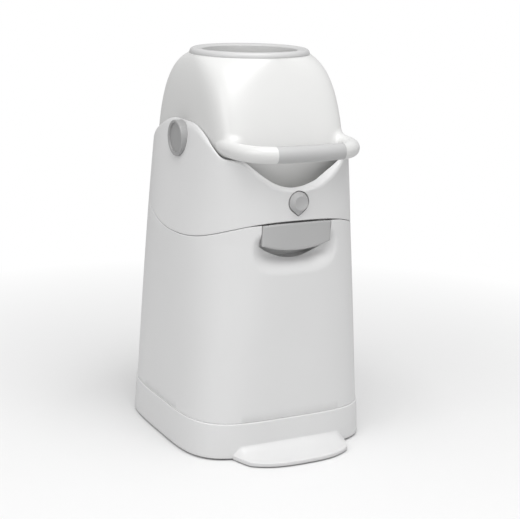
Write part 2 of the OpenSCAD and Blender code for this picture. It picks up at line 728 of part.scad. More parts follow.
module button_clip() {
    color(steel) difference() {
        rod_y(8.5, guide_y + guide_t + slack, guide_y + guide_t + 1.3, 0, button_z);
        rod_y(stem_r + 0.02, guide_y, guide_y + 6, 0, button_z);
    }
}

module button_spring() {
    start = button_y + 5;
    turns = 4;
    color(steel) translate([0, start, button_z]) rotate([-90, 0, 0])
        coil(9.3, 0.6, (guide_y - 1 - start) / turns, turns);
}

// Drum: two mirrored shells joined at the axis, each with half of the handle
function handle_pt(s) = let (e = 2 / handle_square)
    [handle_half_w * sign(cos(s)) * pow(abs(cos(s)), e),
        -handle_root_y - (handle_reach - handle_root_y) * pow(sin(s), e)];
function handle_dir(s) = let (a = handle_pt(max(0, s - 1)), b = handle_pt(min(180, s + 1)), d = b - a)
    d / norm(d);
grip_s = acos(pow(grip_half_w / handle_half_w, handle_square / 2));

function oval_ring(s, half_t, half_h, from, to, steps) = let (c = handle_pt(s), d = handle_dir(s))
    [for (i = [0 : steps]) let (a = lerp(from, to, i / steps), u = half_t * cos(a))
        [c[0] - d[1] * u, c[1] + d[0] * u, half_h * sin(a)]];

module handle_half(from) {
    arm_t = grip_half_t + 0.4;
    arm_h = function (s) lerp(grip_half_h + 0.4, root_half_h, smooth((handle_pt(s)[1] + 142) / 30));
    ring = function (s, t, h) oval_ring(s, t, h, from, from + 180, 10);
    core_t = grip_half_t - 3.5;
    core_h = grip_half_h - 3.5;
    arm_steps = 7;
    skin(concat(
        [for (i = [0 : arm_steps]) let (s = grip_s * pow(i / arm_steps, 2)) ring(s, arm_t, arm_h(s))],
        [for (i = [0 : 6]) ring(lerp(grip_s, 180 - grip_s, i / 6), core_t, core_h)],
        [for (i = [arm_steps : -1 : 0]) let (s = 180 - grip_s * pow(i / arm_steps, 2))
            ring(s, arm_t, arm_h(s))]));
}

module handle_grip() {
    function tube_ring(s, t, h) = oval_ring(s, t, h, 0, 345, 23);
    ss = [for (i = [0 : 8]) lerp(grip_s + 0.3, 180 - grip_s - 0.3, i / 8)];
    color(grey_plastic) translate([0, 0, axis_z]) difference() {
        skin([for (s = ss) tube_ring(s, grip_half_t, grip_half_h)]);
        skin([for (i = [0 : 6]) tube_ring(lerp(grip_s - 0.2, 180.2 - grip_s, i / 6),
            grip_half_t - 3.4, grip_half_h - 3.4)]);
    }
}

drum_boss_r = (tube_out + ring_r) / 2 + 0.7;
drum_boss_places = [for (a = [45 : 90 : 315]) [drum_boss_r * cos(a), drum_boss_r * sin(a)]];
drum_split = 0.1;

module drum_half() {
    ring = function (h, inset) [for (t = drum_cols) drum_pt(t, h, inset)];
    circle_ring = function (h, r) [for (t = drum_cols) [r * cos(t), r * sin(t), h]];
    under = drum_top - drum_wall;
    low = drum_split;
    difference() {
        union() {
            skin(concat([for (h = [low, 25, 50, 72, 90, 104, 114, 121, drum_top]) ring(h, 0)],
                [circle_ring(drum_top, tube_out + 0.2), circle_ring(under, tube_out + 0.2),
                    circle_ring(under, drum_w(under) - drum_wall - 1)],
                [for (h = [112, 98, 80, 50, low]) ring(h, drum_wall)]), joined = true);
            for (p = drum_boss_places) translate([p[0], p[1], low]) cylinder(r = 6, h = under - low + eps);
            for (s = [-1, 1]) intersection() {
                rod_x(pin_flange_r + 3, s > 0 ? 94 : -105, s > 0 ? 105 : -94);
                block([-110, -40, low], [110, 40, 40]);
            }
            handle_half(0);
        }
        rod_x(pivot_r + 0.02, -120, 120);
        for (s = [-1, 1]) rod_x(pin_flange_r + 0.02, s > 0 ? 97 : -101.1, s > 0 ? 101.1 : -97);
    }
}

module upper_drum_shell() {
    color(white_plastic) translate([0, 0, axis_z]) difference() {
        drum_half();
        for (p = drum_boss_places) translate([p[0], p[1], -1]) cylinder(r = screw_r + run_fit, h = 20);
    }
}

module lower_drum_shell() {
    color(white_plastic) translate([0, 0, axis_z]) mirror([0, 0, 1]) difference() {
        drum_half();
        for (p = drum_boss_places) {
            translate([p[0], p[1], -1]) cylinder(r = screw_r + slack, h = 30);
            translate([p[0], p[1], 20]) cylinder(r = 4.4, h = 120);
        }
    }
}

module drum_tube() {
    end = drum_top - 0.1;
    color(inner_white) translate([0, 0, axis_z - end]) difference() {
        cylinder(r = tube_out, h = 2 * end, $fn = 96);
        translate([0, 0, -1]) cylinder(r = tube_r, h = 2 * end + 2, $fn = 96);
    }
}

module rim_ring() {
    seat = drum_top;
    top = drum_reach;
    crest_r = ring_r - 6.5;
    outer = [for (a = [0 : 15 : 90]) [crest_r + 6.5 * cos(a), top - (ring_h - 1.5) * (1 - sin(a))]];
    inner = [for (a = [30 : 30 : 90])
        [mouth_r + (crest_r - mouth_r) * (1 - sin(a)), top - mouth_drop * (1 - cos(a))]];
    rotate_extrude($fn = 96) polygon(concat([[tube_r - 0.3, seat], [ring_r - 0.5, seat]], outer, inner,
        [[mouth_r, seat - 5], [tube_r - 0.3, seat - 5]]));
}

module upper_rim_ring() {
    color(grey_plastic) translate([0, 0, axis_z]) rim_ring();
}

module lower_rim_ring() {
    color(grey_plastic) translate([0, 0, axis_z]) mirror([0, 0, 1]) rim_ring();
}

module drum_screws() {
    color(steel) for (p = drum_boss_places) translate([p[0], p[1], axis_z - 20]) screw(4, 3, screw_r, 36);
}

// Pivot pins: flanged stubs held between the drum's halves
module pivot_pin(s) {
    color(steel) translate([0, 0, axis_z]) mirror([s > 0 ? 0 : 1, 0, 0]) difference() {
        union() {
            rod_x(pin_flange_r, 97.05, 97.05 + pin_flange_t);
            rod_x(pivot_r, 97.1, pin_end_x);
        }
        rod_x(screw_r + run_fit, pin_end_x - 14, pin_end_x + 1);
    }
}

module left_pivot_pin() {
    pivot_pin(-1);
}

module right_pivot_pin() {
    pivot_pin(1);
}

module pin_screws() {
    color(steel) translate([0, 0, axis_z]) for (s = [0, 1]) mirror([s, 0, 0]) {
        rod_x(boss_r - 1, pin_end_x, pin_end_x + 1.6);
        rod_x(screw_r, pin_end_x - 12.4, pin_end_x + 0.1);
    }
}

// Piston: a hollow plug that slides from one rim ring to the other, with a ring seal
piston_z = axis_z - drum_top + 5 + slack;
module piston() {
    r = tube_r - piston_gap;
    seal_z = piston_h / 2;
    pts = [[0, 0], [r - 2, 0], [r, 2], [r, seal_z - 1.6], [r - 2, seal_z - 1.6], [r - 2, seal_z + 1.6],
        [r, seal_z + 1.6], [r, piston_h - 2], [r - 2, piston_h], [r - 4.5, piston_h],
        [r - 5.5, piston_h - 6], [0, piston_h - 6]];
    color(inner_white) translate([0, 0, piston_z]) rotate_extrude($fn = 96) polygon(pts);
}

module piston_seal() {
    r = tube_r - piston_gap - 0.4;
    color(dark_rubber) translate([0, 0, piston_z + piston_h / 2]) rotate_extrude($fn = 96)
        translate([r - 0.4, 0]) circle(r = 1.1, $fn = 24);
}

base();
anti_slip_ring();
base_screws();
bin_body();
hinge_pin();
head_shell();
cradle();
cradle_screws();
lid_gasket();
left_bush();
right_bush();
left_hub_cap();
right_hub_cap();
latch_pin();
latch_spring();
latch_lever();
button();
button_clip();
button_spring();
upper_drum_shell();
lower_drum_shell();
drum_tube();
upper_rim_ring();
lower_rim_ring();
handle_grip();
drum_screws();
left_pivot_pin();
right_pivot_pin();
pin_screws();
piston();
piston_seal();
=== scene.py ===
"""Visual model of a nappy bin with a flip-over drum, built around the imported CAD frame.

Lengths are in millimetres in the classes and turned to metres where a mesh is made. The front of the
bin faces -Y, Z is up, and the drum turns about an axis along X.
"""

from __future__ import annotations

import logging
import math
from dataclasses import dataclass, field
from enum import Enum

import bpy
import numpy as np
from mathutils import Matrix, Vector
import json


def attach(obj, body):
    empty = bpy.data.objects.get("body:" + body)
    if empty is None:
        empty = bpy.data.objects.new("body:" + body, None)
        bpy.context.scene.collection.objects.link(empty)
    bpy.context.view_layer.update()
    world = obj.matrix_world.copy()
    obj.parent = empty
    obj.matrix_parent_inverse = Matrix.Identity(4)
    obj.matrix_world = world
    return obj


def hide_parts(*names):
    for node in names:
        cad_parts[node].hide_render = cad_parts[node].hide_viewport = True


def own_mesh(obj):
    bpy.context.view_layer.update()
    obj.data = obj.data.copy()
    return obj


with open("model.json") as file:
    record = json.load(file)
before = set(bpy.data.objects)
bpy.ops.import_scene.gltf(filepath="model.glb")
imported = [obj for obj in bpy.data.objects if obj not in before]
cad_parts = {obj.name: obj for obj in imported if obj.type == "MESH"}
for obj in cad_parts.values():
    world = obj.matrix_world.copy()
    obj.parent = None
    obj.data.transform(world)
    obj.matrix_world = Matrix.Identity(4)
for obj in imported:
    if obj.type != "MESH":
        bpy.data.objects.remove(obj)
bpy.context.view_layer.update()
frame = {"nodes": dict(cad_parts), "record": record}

LOG = logging.getLogger("nappy_bin")
MM = 0.001

Vec3 = tuple[float, float, float]
Faces = list[tuple[int, ...]]


class Body(str, Enum):
    """The rigid bodies that pieces ride on."""

    BIN = "bin"
    HEAD = "head"
    LATCH = "latch"
    BUTTON = "button"
    DRUM = "drum"
    PISTON = "piston"


class Turn(Enum):
    """The axis of a turned piece."""

    ABOUT_Z = 0
    ABOUT_X = 1
    ABOUT_Y = 2


def linear(hex_colour: str) -> tuple[float, float, float, float]:
    """Turns an sRGB hex colour to linear RGBA.

    Args:
        hex_colour: Six hex digits with a leading hash.

    Returns:
        Linear red, green, blue and an alpha of 1.
    """
    parts = [int(hex_colour[i : i + 2], 16) / 255 for i in (1, 3, 5)]
    red, green, blue = (c / 12.92 if c <= 0.04045 else ((c + 0.055) / 1.055) ** 2.4 for c in parts)
    return red, green, blue, 1.0


def add_node(
    tree: bpy.types.NodeTree, kind: str, inputs: dict[str, object] | None = None, **settings: object
) -> bpy.types.Node:
    """Adds a shader node with its settings, values and links.

    Args:
        tree: The material's or world's node tree.
        kind: The node's type name.
        inputs: Values, or output sockets to link, by input name or index.
        settings: Properties of the node itself.

    Returns:
        The new node.
    """
    node = tree.nodes.new(kind)
    for name, value in settings.items():
        setattr(node, name, value)
    for name, value in (inputs or {}).items():
        if isinstance(value, bpy.types.NodeSocket):
            tree.links.new(value, node.inputs[name])
        else:
            node.inputs[name].default_value = value
    return node


@dataclass(frozen=True)
class Finish:
    """A moulded plastic or rubber surface.

    The moulding's grain is real bump at grain_mm, drawn coarser than spark erosion leaves it so that it
    shows. Slow drift of tone and gloss comes from uneven cooling in the mould.
    """

    name: str
    colour: str
    shade: str
    ior: float
    roughness: float
    roughness_spread: float
    grain_mm: float
    grain_depth_mm: float
    drift_mm: float = 90.0
    coat: float = 0.0

    def build(self) -> bpy.types.Material:
        """Makes the node material.

        Returns:
            The finished material.
        """
        material = bpy.data.materials.new(self.name)
        material.use_nodes = True
        tree = material.node_tree
        shader = tree.nodes["Principled BSDF"]
        place = add_node(tree, "ShaderNodeTexCoord")
        drift = add_node(
            tree,
            "ShaderNodeTexNoise",
            {"Vector": place.outputs["Object"], "Scale": 1 / (self.drift_mm * MM), "Detail": 2.0},
        )
        tone = add_node(
            tree,
            "ShaderNodeMix",
            {0: drift.outputs["Fac"], 6: linear(self.shade), 7: linear(self.colour)},
            data_type="RGBA",
        )
        gloss = add_node(
            tree,
            "ShaderNodeMapRange",
            {
                "Value": drift.outputs["Fac"],
                "To Min": self.roughness - self.roughness_spread,
                "To Max": self.roughness + self.roughness_spread,
            },
        )
        grain = add_node(
            tree,
            "ShaderNodeTexNoise",
            {"Vector": place.outputs["Object"], "Scale": 1 / (self.grain_mm * MM), "Detail": 3.0},
        )
        bump = add_node(
            tree,
            "ShaderNodeBump",
            {"Height": grain.outputs["Fac"], "Strength": 1.0, "Distance": self.grain_depth_mm * MM},
        )
        tree.links.new(tone.outputs[2], shader.inputs["Base Color"])
        tree.links.new(gloss.outputs["Result"], shader.inputs["Roughness"])
        tree.links.new(bump.outputs["Normal"], shader.inputs["Normal"])
        shader.inputs["IOR"].default_value = self.ior
        shader.inputs["Coat Weight"].default_value = self.coat
        return material


@dataclass(frozen=True)
class DrawnSteel:
    """Zinc-plated steel wire and turned steel: fine drawing lines along the piece, slightly uneven gloss."""

    name: str = "zinc-plated steel"
    colour: str = "#b9bcbe"
    shade: str = "#9c9fa2"
    line_mm: float = 0.6

    def build(self) -> bpy.types.Material:
        """Makes the node material.

        Returns:
            The finished material.
        """
        material = bpy.data.materials.new(self.name)
        material.use_nodes = True
        tree = material.node_tree
        shader = tree.nodes["Principled BSDF"]
        place = add_node(tree, "ShaderNodeTexCoord")
        stretch = add_node(
            tree, "ShaderNodeMapping", {"Vector": place.outputs["Object"], "Scale": (0.1, 1.0, 1.0)}
        )
        lines = add_node(
            tree,
            "ShaderNodeTexNoise",
            {"Vector": stretch.outputs["Vector"], "Scale": 1 / (self.line_mm * MM), "Detail": 2.0},
        )
        tone = add_node(
            tree,
            "ShaderNodeMix",
            {0: lines.outputs["Fac"], 6: linear(self.shade), 7: linear(self.colour)},
            data_type="RGBA",
        )
        gloss = add_node(
            tree, "ShaderNodeMapRange", {"Value": lines.outputs["Fac"], "To Min": 0.22, "To Max": 0.42}
        )
        tree.links.new(tone.outputs[2], shader.inputs["Base Color"])
        tree.links.new(gloss.outputs["Result"], shader.inputs["Roughness"])
        shader.inputs["Metallic"].default_value = 1.0
        return material


class Slot(str, Enum):
    """The record's material slots."""

    SHELL = "white_shell"
    DRUM = "drum_white"
    INNER = "inner_white"
    GREY = "grey_plastic"
    HUB = "dark_grey_plastic"
    GRIP = "soft_grip"
    RING = "soft_ring"
    STEEL = "steel"


# What each finish gives the eye: ABS shells are satin with a faint grain, the drum is polished ABS,
# inner parts are matt polypropylene, the grip is soft thermoplastic rubber
FINISHES: dict[Slot, Finish | DrawnSteel] = {
    Slot.SHELL: Finish("moulded ABS, satin white", "#dedede", "#dadada", 1.53, 0.36, 0.04, 0.9, 0.012),
    Slot.DRUM: Finish("moulded ABS, polished white", "#d9d9d8", "#d6d6d5", 1.53, 0.3, 0.03, 1.2, 0.006),
    Slot.INNER: Finish("moulded polypropylene, natural white", "#f0f0ee", "#ececea", 1.49, 0.5, 0.05, 0.8, 0.02),
    Slot.GREY: Finish("moulded ABS, light grey", "#b4b4b4", "#b0b0b0", 1.53, 0.42, 0.04, 0.7, 0.015),
    Slot.HUB: Finish("moulded ABS, mid grey", "#a2a2a2", "#9c9c9c", 1.53, 0.4, 0.05, 0.7, 0.015),
    Slot.GRIP: Finish("thermoplastic rubber, grey", "#b9b9b9", "#b4b4b4", 1.5, 0.62, 0.05, 0.6, 0.03),
    Slot.RING: Finish("thermoplastic rubber, dark grey", "#58585a", "#505052", 1.5, 0.7, 0.05, 0.6, 0.03),
    Slot.STEEL: DrawnSteel(),
}
# Painted light: the rim rings take the grey plastic painted lighter, standing for the light their upward-facing crests
# catch.
RIM_PAINTED_LIGHT_FINISH = Finish("moulded ABS, grey with painted light", "#c4c4c4", "#c0c0c0", 1.53, 0.38, 0.04, 0.7, 0.015)


def lerp(a: np.ndarray | float, b: np.ndarray | float, t: np.ndarray | float) -> np.ndarray | float:
    """Value between a and b at t."""
    return a + (b - a) * t


def smooth(u: np.ndarray | float) -> np.ndarray | float:
    """Smooth step from 0 to 1."""
    c = np.clip(u, 0.0, 1.0)
    return c * c * (3 - 2 * c)


def plan_radius(a: np.ndarray | float, b: np.ndarray | float, n: np.ndarray | float, t: np.ndarray) -> np.ndarray:
    """Radius of a superellipse of half-sizes a and b and squareness n at plan angle t in radians."""
    return (np.abs(np.cos(t) / a) ** n + np.abs(np.sin(t) / b) ** n) ** (-1 / n)


def loft_faces(rows: int, columns: int, joined: bool) -> Faces:
    """Lists the quads between rings of points, with caps or joined ends.

    Args:
        rows: Number of rings.
        columns: Points in a ring.
        joined: Whether the last ring meets the first, instead of end caps.

    Returns:
        Faces as vertex indices, facing outwards for rings that run counter-clockwise seen from the end.
    """
    faces: Faces = []
    for i in range(rows if joined else rows - 1):
        for j in range(columns):
            a, b = i * columns + j, i * columns + (j + 1) % columns
            c, d = ((i + 1) % rows) * columns + (j + 1) % columns, ((i + 1) % rows) * columns + j
            faces.append((a, b, c, d))
    if not joined:
        faces.append(tuple(range(columns - 1, -1, -1)))
        faces.append(tuple(range((rows - 1) * columns, rows * columns)))
    return faces


def make_object(name: str, points: np.ndarray, faces: Faces) -> bpy.types.Object:
    """Makes a mesh object from points in millimetres.

    Args:
        name: The object's name.
        points: Array of shape (count, 3).
        faces: Faces as vertex indices.

    Returns:
        The linked object.
    """
    mesh = bpy.data.meshes.new(name)
    mesh.from_pydata((np.asarray(points, float).reshape(-1, 3) * MM).tolist(), [], faces)
    mesh.validate()
    piece = bpy.data.objects.new(name, mesh)
    bpy.context.scene.collection.objects.link(piece)
    return piece


def loft(name: str, rings: list[np.ndarray], joined: bool = False) -> bpy.types.Object:
    """Makes a closed skin through rings of points."""
    stack = np.stack(rings)
    return make_object(name, stack, loft_faces(stack.shape[0], stack.shape[1], joined))


def shade(piece: bpy.types.Object, angle_deg: float = 35.0) -> None:
    """Shades a piece smooth, apart from edges sharper than an angle."""
    piece.data.polygons.foreach_set("use_smooth", [True] * len(piece.data.polygons))
    piece.data.set_sharp_from_angle(angle=math.radians(angle_deg))


def apply_boolean(piece: bpy.types.Object, cutter: bpy.types.Object, operation: str) -> None:
    """Joins or cuts a piece with another by a boolean and removes the other."""
    before = len(piece.data.polygons)
    modifier = piece.modifiers.new("cut", "BOOLEAN")
    modifier.object = cutter
    modifier.operation = operation
    modifier.solver = "MANIFOLD"
    bpy.context.view_layer.update()
    graph = bpy.context.evaluated_depsgraph_get()
    mesh = bpy.data.meshes.new_from_object(piece.evaluated_get(graph))
    piece.modifiers.clear()
    old = piece.data
    piece.data = mesh
    bpy.data.meshes.remove(old)
    bpy.data.objects.remove(cutter)
    if len(mesh.polygons) == before:
        LOG.warning("%s: a boolean with %s changed nothing", piece.name, operation)


def combine(piece: bpy.types.Object, steps: list[tuple[str, bpy.types.Object]]) -> None:
    """Applies a list of booleans, each given as its operation and the other solid."""
    for operation, other in steps:
        apply_boolean(piece, other, operation)


def box(low: Vec3, high: Vec3) -> bpy.types.Object:
    """Makes a plain box between two corners, to join to or cut from a piece."""
    x0, y0, z0 = low
    x1, y1, z1 = high
    ring = np.array([(x0, y0), (x1, y0), (x1, y1), (x0, y1)])
    rings = [np.column_stack([ring, np.full(4, z)]) for z in (z0, z1)]
    return loft("box", rings)


def circle_ring(along: float, radius: float, turn: Turn, segments: int) -> np.ndarray:
    """Points of a circle about an axis, at a distance along it."""
    angles = np.linspace(0, 2 * math.pi, segments, endpoint=False)
    parts = [radius * np.cos(angles), radius * np.sin(angles), np.full(segments, along)]
    return np.column_stack(parts[3 - turn.value :] + parts[: 3 - turn.value])


def turned(
    name: str, profile: list[tuple[float, float]], turn: Turn, centre: Vec3 = (0, 0, 0), segments: int = 160
) -> bpy.types.Object:
    """Makes a closed turned solid.

    Args:
        name: The object's name.
        profile: Closed outline as (distance along the axis, radius), clockwise seen with the radius up.
        turn: The axis it is turned about.
        centre: A point on the axis.
        segments: Steps of a full turn.

    Returns:
        The turned object.
    """
    rings = [circle_ring(along, radius, turn, segments) + np.array(centre) for along, radius in profile]
    return loft(name, rings, joined=True)


def rod(start: Vec3, turn: Turn, length: float, radius: float, segments: int = 64) -> bpy.types.Object:
    """Makes a plain round bar, to join to or cut from a piece."""
    return loft("rod", [circle_ring(along, radius, turn, segments) + np.array(start) for along in (0.0, length)])


def sample(grid: np.ndarray, at: np.ndarray) -> np.ndarray:
    """Reads a grid between its points.

    Args:
        grid: Values on the grid, with any number of components last.
        at: Places as fractional grid indices.

    Returns:
        The values at the places.
    """
    low = np.clip(np.floor(at).astype(int), 0, np.array(grid.shape[:3]) - 2)
    part = at - low
    total = 0.0
    for corner in np.ndindex(2, 2, 2):
        weight = np.prod(np.where(corner, part, 1 - part), axis=1)
        values = grid[tuple((low + corner).T)]
        total = total + (values.T * weight).T
    return total


def surface_net(grid: np.ndarray) -> tuple[np.ndarray, np.ndarray]:
    """Finds the zero surface of a signed field as a net of quads.

    Args:
        grid: Field values, negative inside.

    Returns:
        Vertices as fractional grid indices, and quads that face outwards.
    """
    cells = tuple(np.array(grid.shape) - 1)
    total = np.zeros((*cells, 3))
    count = np.zeros(cells)
    rings = []
    for axis in range(3):
        here = grid[tuple(slice(0, -1) if k == axis else slice(1, -1) for k in range(3))]
        there = grid[tuple(slice(1, None) if k == axis else slice(1, -1) for k in range(3))]
        edge = np.argwhere((here < 0) != (there < 0))
        a, b = here[tuple(edge.T)], there[tuple(edge.T)]
        edge = edge + np.array([0 if k == axis else 1 for k in range(3)])
        spot = edge.astype(float)
        spot[:, axis] += a / (a - b)
        first, second = (k for k in range(3) if k != axis)
        around = []
        for back_first, back_second in ((0, 0), (1, 0), (1, 1), (0, 1)):
            cell = edge.copy()
            cell[:, first] -= back_first
            cell[:, second] -= back_second
            np.add.at(total, tuple(cell.T), spot)
            np.add.at(count, tuple(cell.T), 1)
            around.append(np.ravel_multi_index(tuple(cell.T), cells))
        ring = np.column_stack(around)
        turn_back = (a < 0) == (axis == 1)
        ring[turn_back] = ring[turn_back][:, ::-1]
        rings.append(ring)
    used = np.flatnonzero(count)
    number = np.full(count.size, -1)
    number[used] = np.arange(used.size)
    points = total.reshape(-1, 3)[used] / count.reshape(-1, 1)[used]
    return points, number[np.concatenate(rings)]


def settle(
    piece: bpy.types.Object, body: Body, slot: Slot, materials: dict[Slot, bpy.types.Material], *nodes: str
) -> None:
    """Gives a piece its material and body, and hides the CAD nodes it stands for.

    Args:
        piece: The finished piece.
        body: The body that it rides on.
        slot: The material slot of its finish.
        materials: The built materials.
        nodes: CAD nodes that the piece replaces.
    """
    piece.data.materials.clear()
    piece.data.materials.append(materials[slot])
    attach(piece, body.value)
    if nodes:
        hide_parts(*nodes)
    LOG.info("%s: %d faces on %s", piece.name, len(piece.data.polygons), body.value)


@dataclass
class Housing:
    """The tapered outer form shared by the base, the bin and the head."""

    floor_half_w: float = 152.0
    floor_half_d: float = 163.0
    floor_square: float = 4.4
    seam_half_w: float = 136.7
    seam_half_d: float = 171.0
    seam_square: float = 3.1
    ear_half_w: float = 116.3
    ear_half_d: float = 171.0
    ear_square: float = 3.8
    seam_z: float = 331.0
    arch_rise: float = 34.0
    seam_low_y: float = -9.0
    axis_z: float = 470.0
    wall: float = 3.0
    seam_gap: float = 0.8
    flange_w: float = 7.0
    columns: int = 320
    angles: np.ndarray = field(init=False)

    def __post_init__(self) -> None:
        """Spaces the columns evenly round the seam."""
        t = np.linspace(-math.pi / 2, 1.5 * math.pi, 8001)
        r = plan_radius(self.seam_half_w, self.seam_half_d, self.seam_square, t)
        steps = np.hypot(np.diff(r * np.cos(t)), np.diff(r * np.sin(t)))
        length = np.concatenate([[0.0], np.cumsum(steps)])
        even = np.linspace(0, length[-1], self.columns, endpoint=False)
        self.angles = np.interp(even, length, t)

    def sizes(self, z: np.ndarray) -> tuple[np.ndarray, np.ndarray, np.ndarray]:
        """Half-width, half-depth and squareness of the plan at heights z."""
        low = z / self.seam_z
        high = (z - self.seam_z) / (self.axis_z - self.seam_z)
        below = z < self.seam_z
        triples = (
            (self.floor_half_w, self.seam_half_w, self.ear_half_w),
            (self.floor_half_d, self.seam_half_d, self.ear_half_d),
            (self.floor_square, self.seam_square, self.ear_square),
        )
        return tuple(np.where(below, lerp(a, b, low), lerp(b, c, high)) for a, b, c in triples)

    def ring(self, z: np.ndarray | float, inset: np.ndarray | float = 0.0) -> np.ndarray:
        """Points of the plan at height z, one for each column, moved inwards by inset."""
        heights = np.broadcast_to(np.asarray(z, float), self.angles.shape)
        w, d, n = self.sizes(heights)
        r = plan_radius(w - inset, d - inset, n, self.angles)
        return np.column_stack([r * np.cos(self.angles), r * np.sin(self.angles), heights])

    def front_y(self, x: np.ndarray | float, z: np.ndarray | float) -> np.ndarray:
        """The front face's y at a place on it."""
        w, d, n = self.sizes(np.asarray(z, float))
        return -d * (1 - (np.abs(x) / w) ** n) ** (1 / n)

    def seam_at(self, y: np.ndarray) -> np.ndarray:
        """Height of the arched seam at a distance in front of or behind the axis."""
        front = np.clip((self.seam_low_y - y) / (self.seam_half_d + self.seam_low_y), 0, None) ** 2.7
        rear = smooth((y - self.seam_low_y) / (self.seam_half_d - self.seam_low_y))
        return self.seam_z + self.arch_rise * np.where(y < self.seam_low_y, front, rear)

    def seam(self) -> np.ndarray:
        """Height of the seam at each column."""
        return self.seam_at(self.ring(self.seam_z)[:, 1])


@dataclass
class Base:
    """The plinth with its moulded foot plate."""

    housing: Housing
    top_z: float = 57.5
    proud: float = 1.6
    foot_t: float = 2.3
    deck_t: float = 3.0
    edge_r: float = 1.6
    plate_half_w: float = 82.0
    plate_reach: float = 53.0
    plate_bow: float = 18.5
    plate_rise: float = 17.0
    plate_t: float = 6.0
    plate_end: float = 14.0
    screw_x: float = 92.0
    screw_y: float = 104.0

    def plinth(self) -> bpy.types.Object:
        """Builds the hollow plinth with rounded upper and lower edges."""
        shape = self.housing
        rings = [shape.ring(self.top_z - self.deck_t, 1.4), shape.ring(14.0, 1.4), shape.ring(5.5, 5.0)]
        rings += [shape.ring(5.3, 16.0), shape.ring(self.foot_t, 16.0), shape.ring(self.foot_t, 1.4)]
        for a in np.linspace(0, math.pi / 2, 6):
            rings.append(shape.ring(self.foot_t + 3.0 * (1 - math.cos(a)), 1.4 - (1.4 + self.proud) * math.sin(a)))
        for z in np.linspace(9.0, self.top_z - self.edge_r - 1, 14):
            rings.append(shape.ring(z, -self.proud))
        for a in np.linspace(0, math.pi / 2, 6):
            inset = self.edge_r * (1 - math.cos(a)) - self.proud
            rings.append(shape.ring(self.top_z - self.edge_r * (1 - math.sin(a)), inset))
        return loft("base", rings)

    def plate_section(self, x: float) -> np.ndarray:
        """Outline of the foot plate at a distance from its middle."""
        tip = self.plate_half_w + self.plate_end
        part = min(1.0, max(0.0, (tip - abs(x)) / self.plate_end))
        part = 0.5 * part + 0.5 * math.sin(part * math.pi / 2)
        top = self.foot_t + self.plate_t
        wall_y = float(self.housing.front_y(x, top)) - self.proud + 0.5
        front = wall_y - (self.plate_reach - self.plate_bow * min(1.0, abs(x) / self.plate_half_w) ** 2.8) * part
        rise = self.plate_rise * part
        points = [(wall_y + 2, self.foot_t), (front + 0.6, self.foot_t), (front, self.foot_t + 0.8)]
        points += [(front, top - 1.4)]
        for a in np.linspace(0.2, math.pi / 2, 5):
            points.append((front + 1.4 * (1 - math.cos(a)), top - 1.4 * (1 - math.sin(a))))
        for a in np.linspace(0, math.pi / 2, 24)[1:]:
            points.append((lerp(front + 1.4, wall_y, math.sin(a)), top + rise * (1 - math.cos(a))))
        points.append((wall_y + 2, top + rise))
        return np.array([(x, y, z) for y, z in points])[::-1]

    def build(self, materials: dict[Slot, bpy.types.Material]) -> None:
        """Builds and dresses the base."""
        piece = self.plinth()
        tip = self.plate_half_w + self.plate_end
        half = [tip - 0.4, tip - 1.5, tip - 3, tip - 5, tip - 8, tip - 11]
        xs = sorted([-x for x in half] + list(np.linspace(-self.plate_half_w, self.plate_half_w, 33)) + half)
        steps = [("UNION", loft("plate", [self.plate_section(x) for x in xs]))]
        for x in (-self.screw_x, self.screw_x):
            for y in (-self.screw_y, self.screw_y):
                steps.append(("DIFFERENCE", rod((x, y, self.top_z - 5), Turn.ABOUT_Z, 7, 2.3)))
        combine(piece, steps)
        shade(piece, 40)
        settle(piece, Body.BIN, Slot.SHELL, materials, "base")


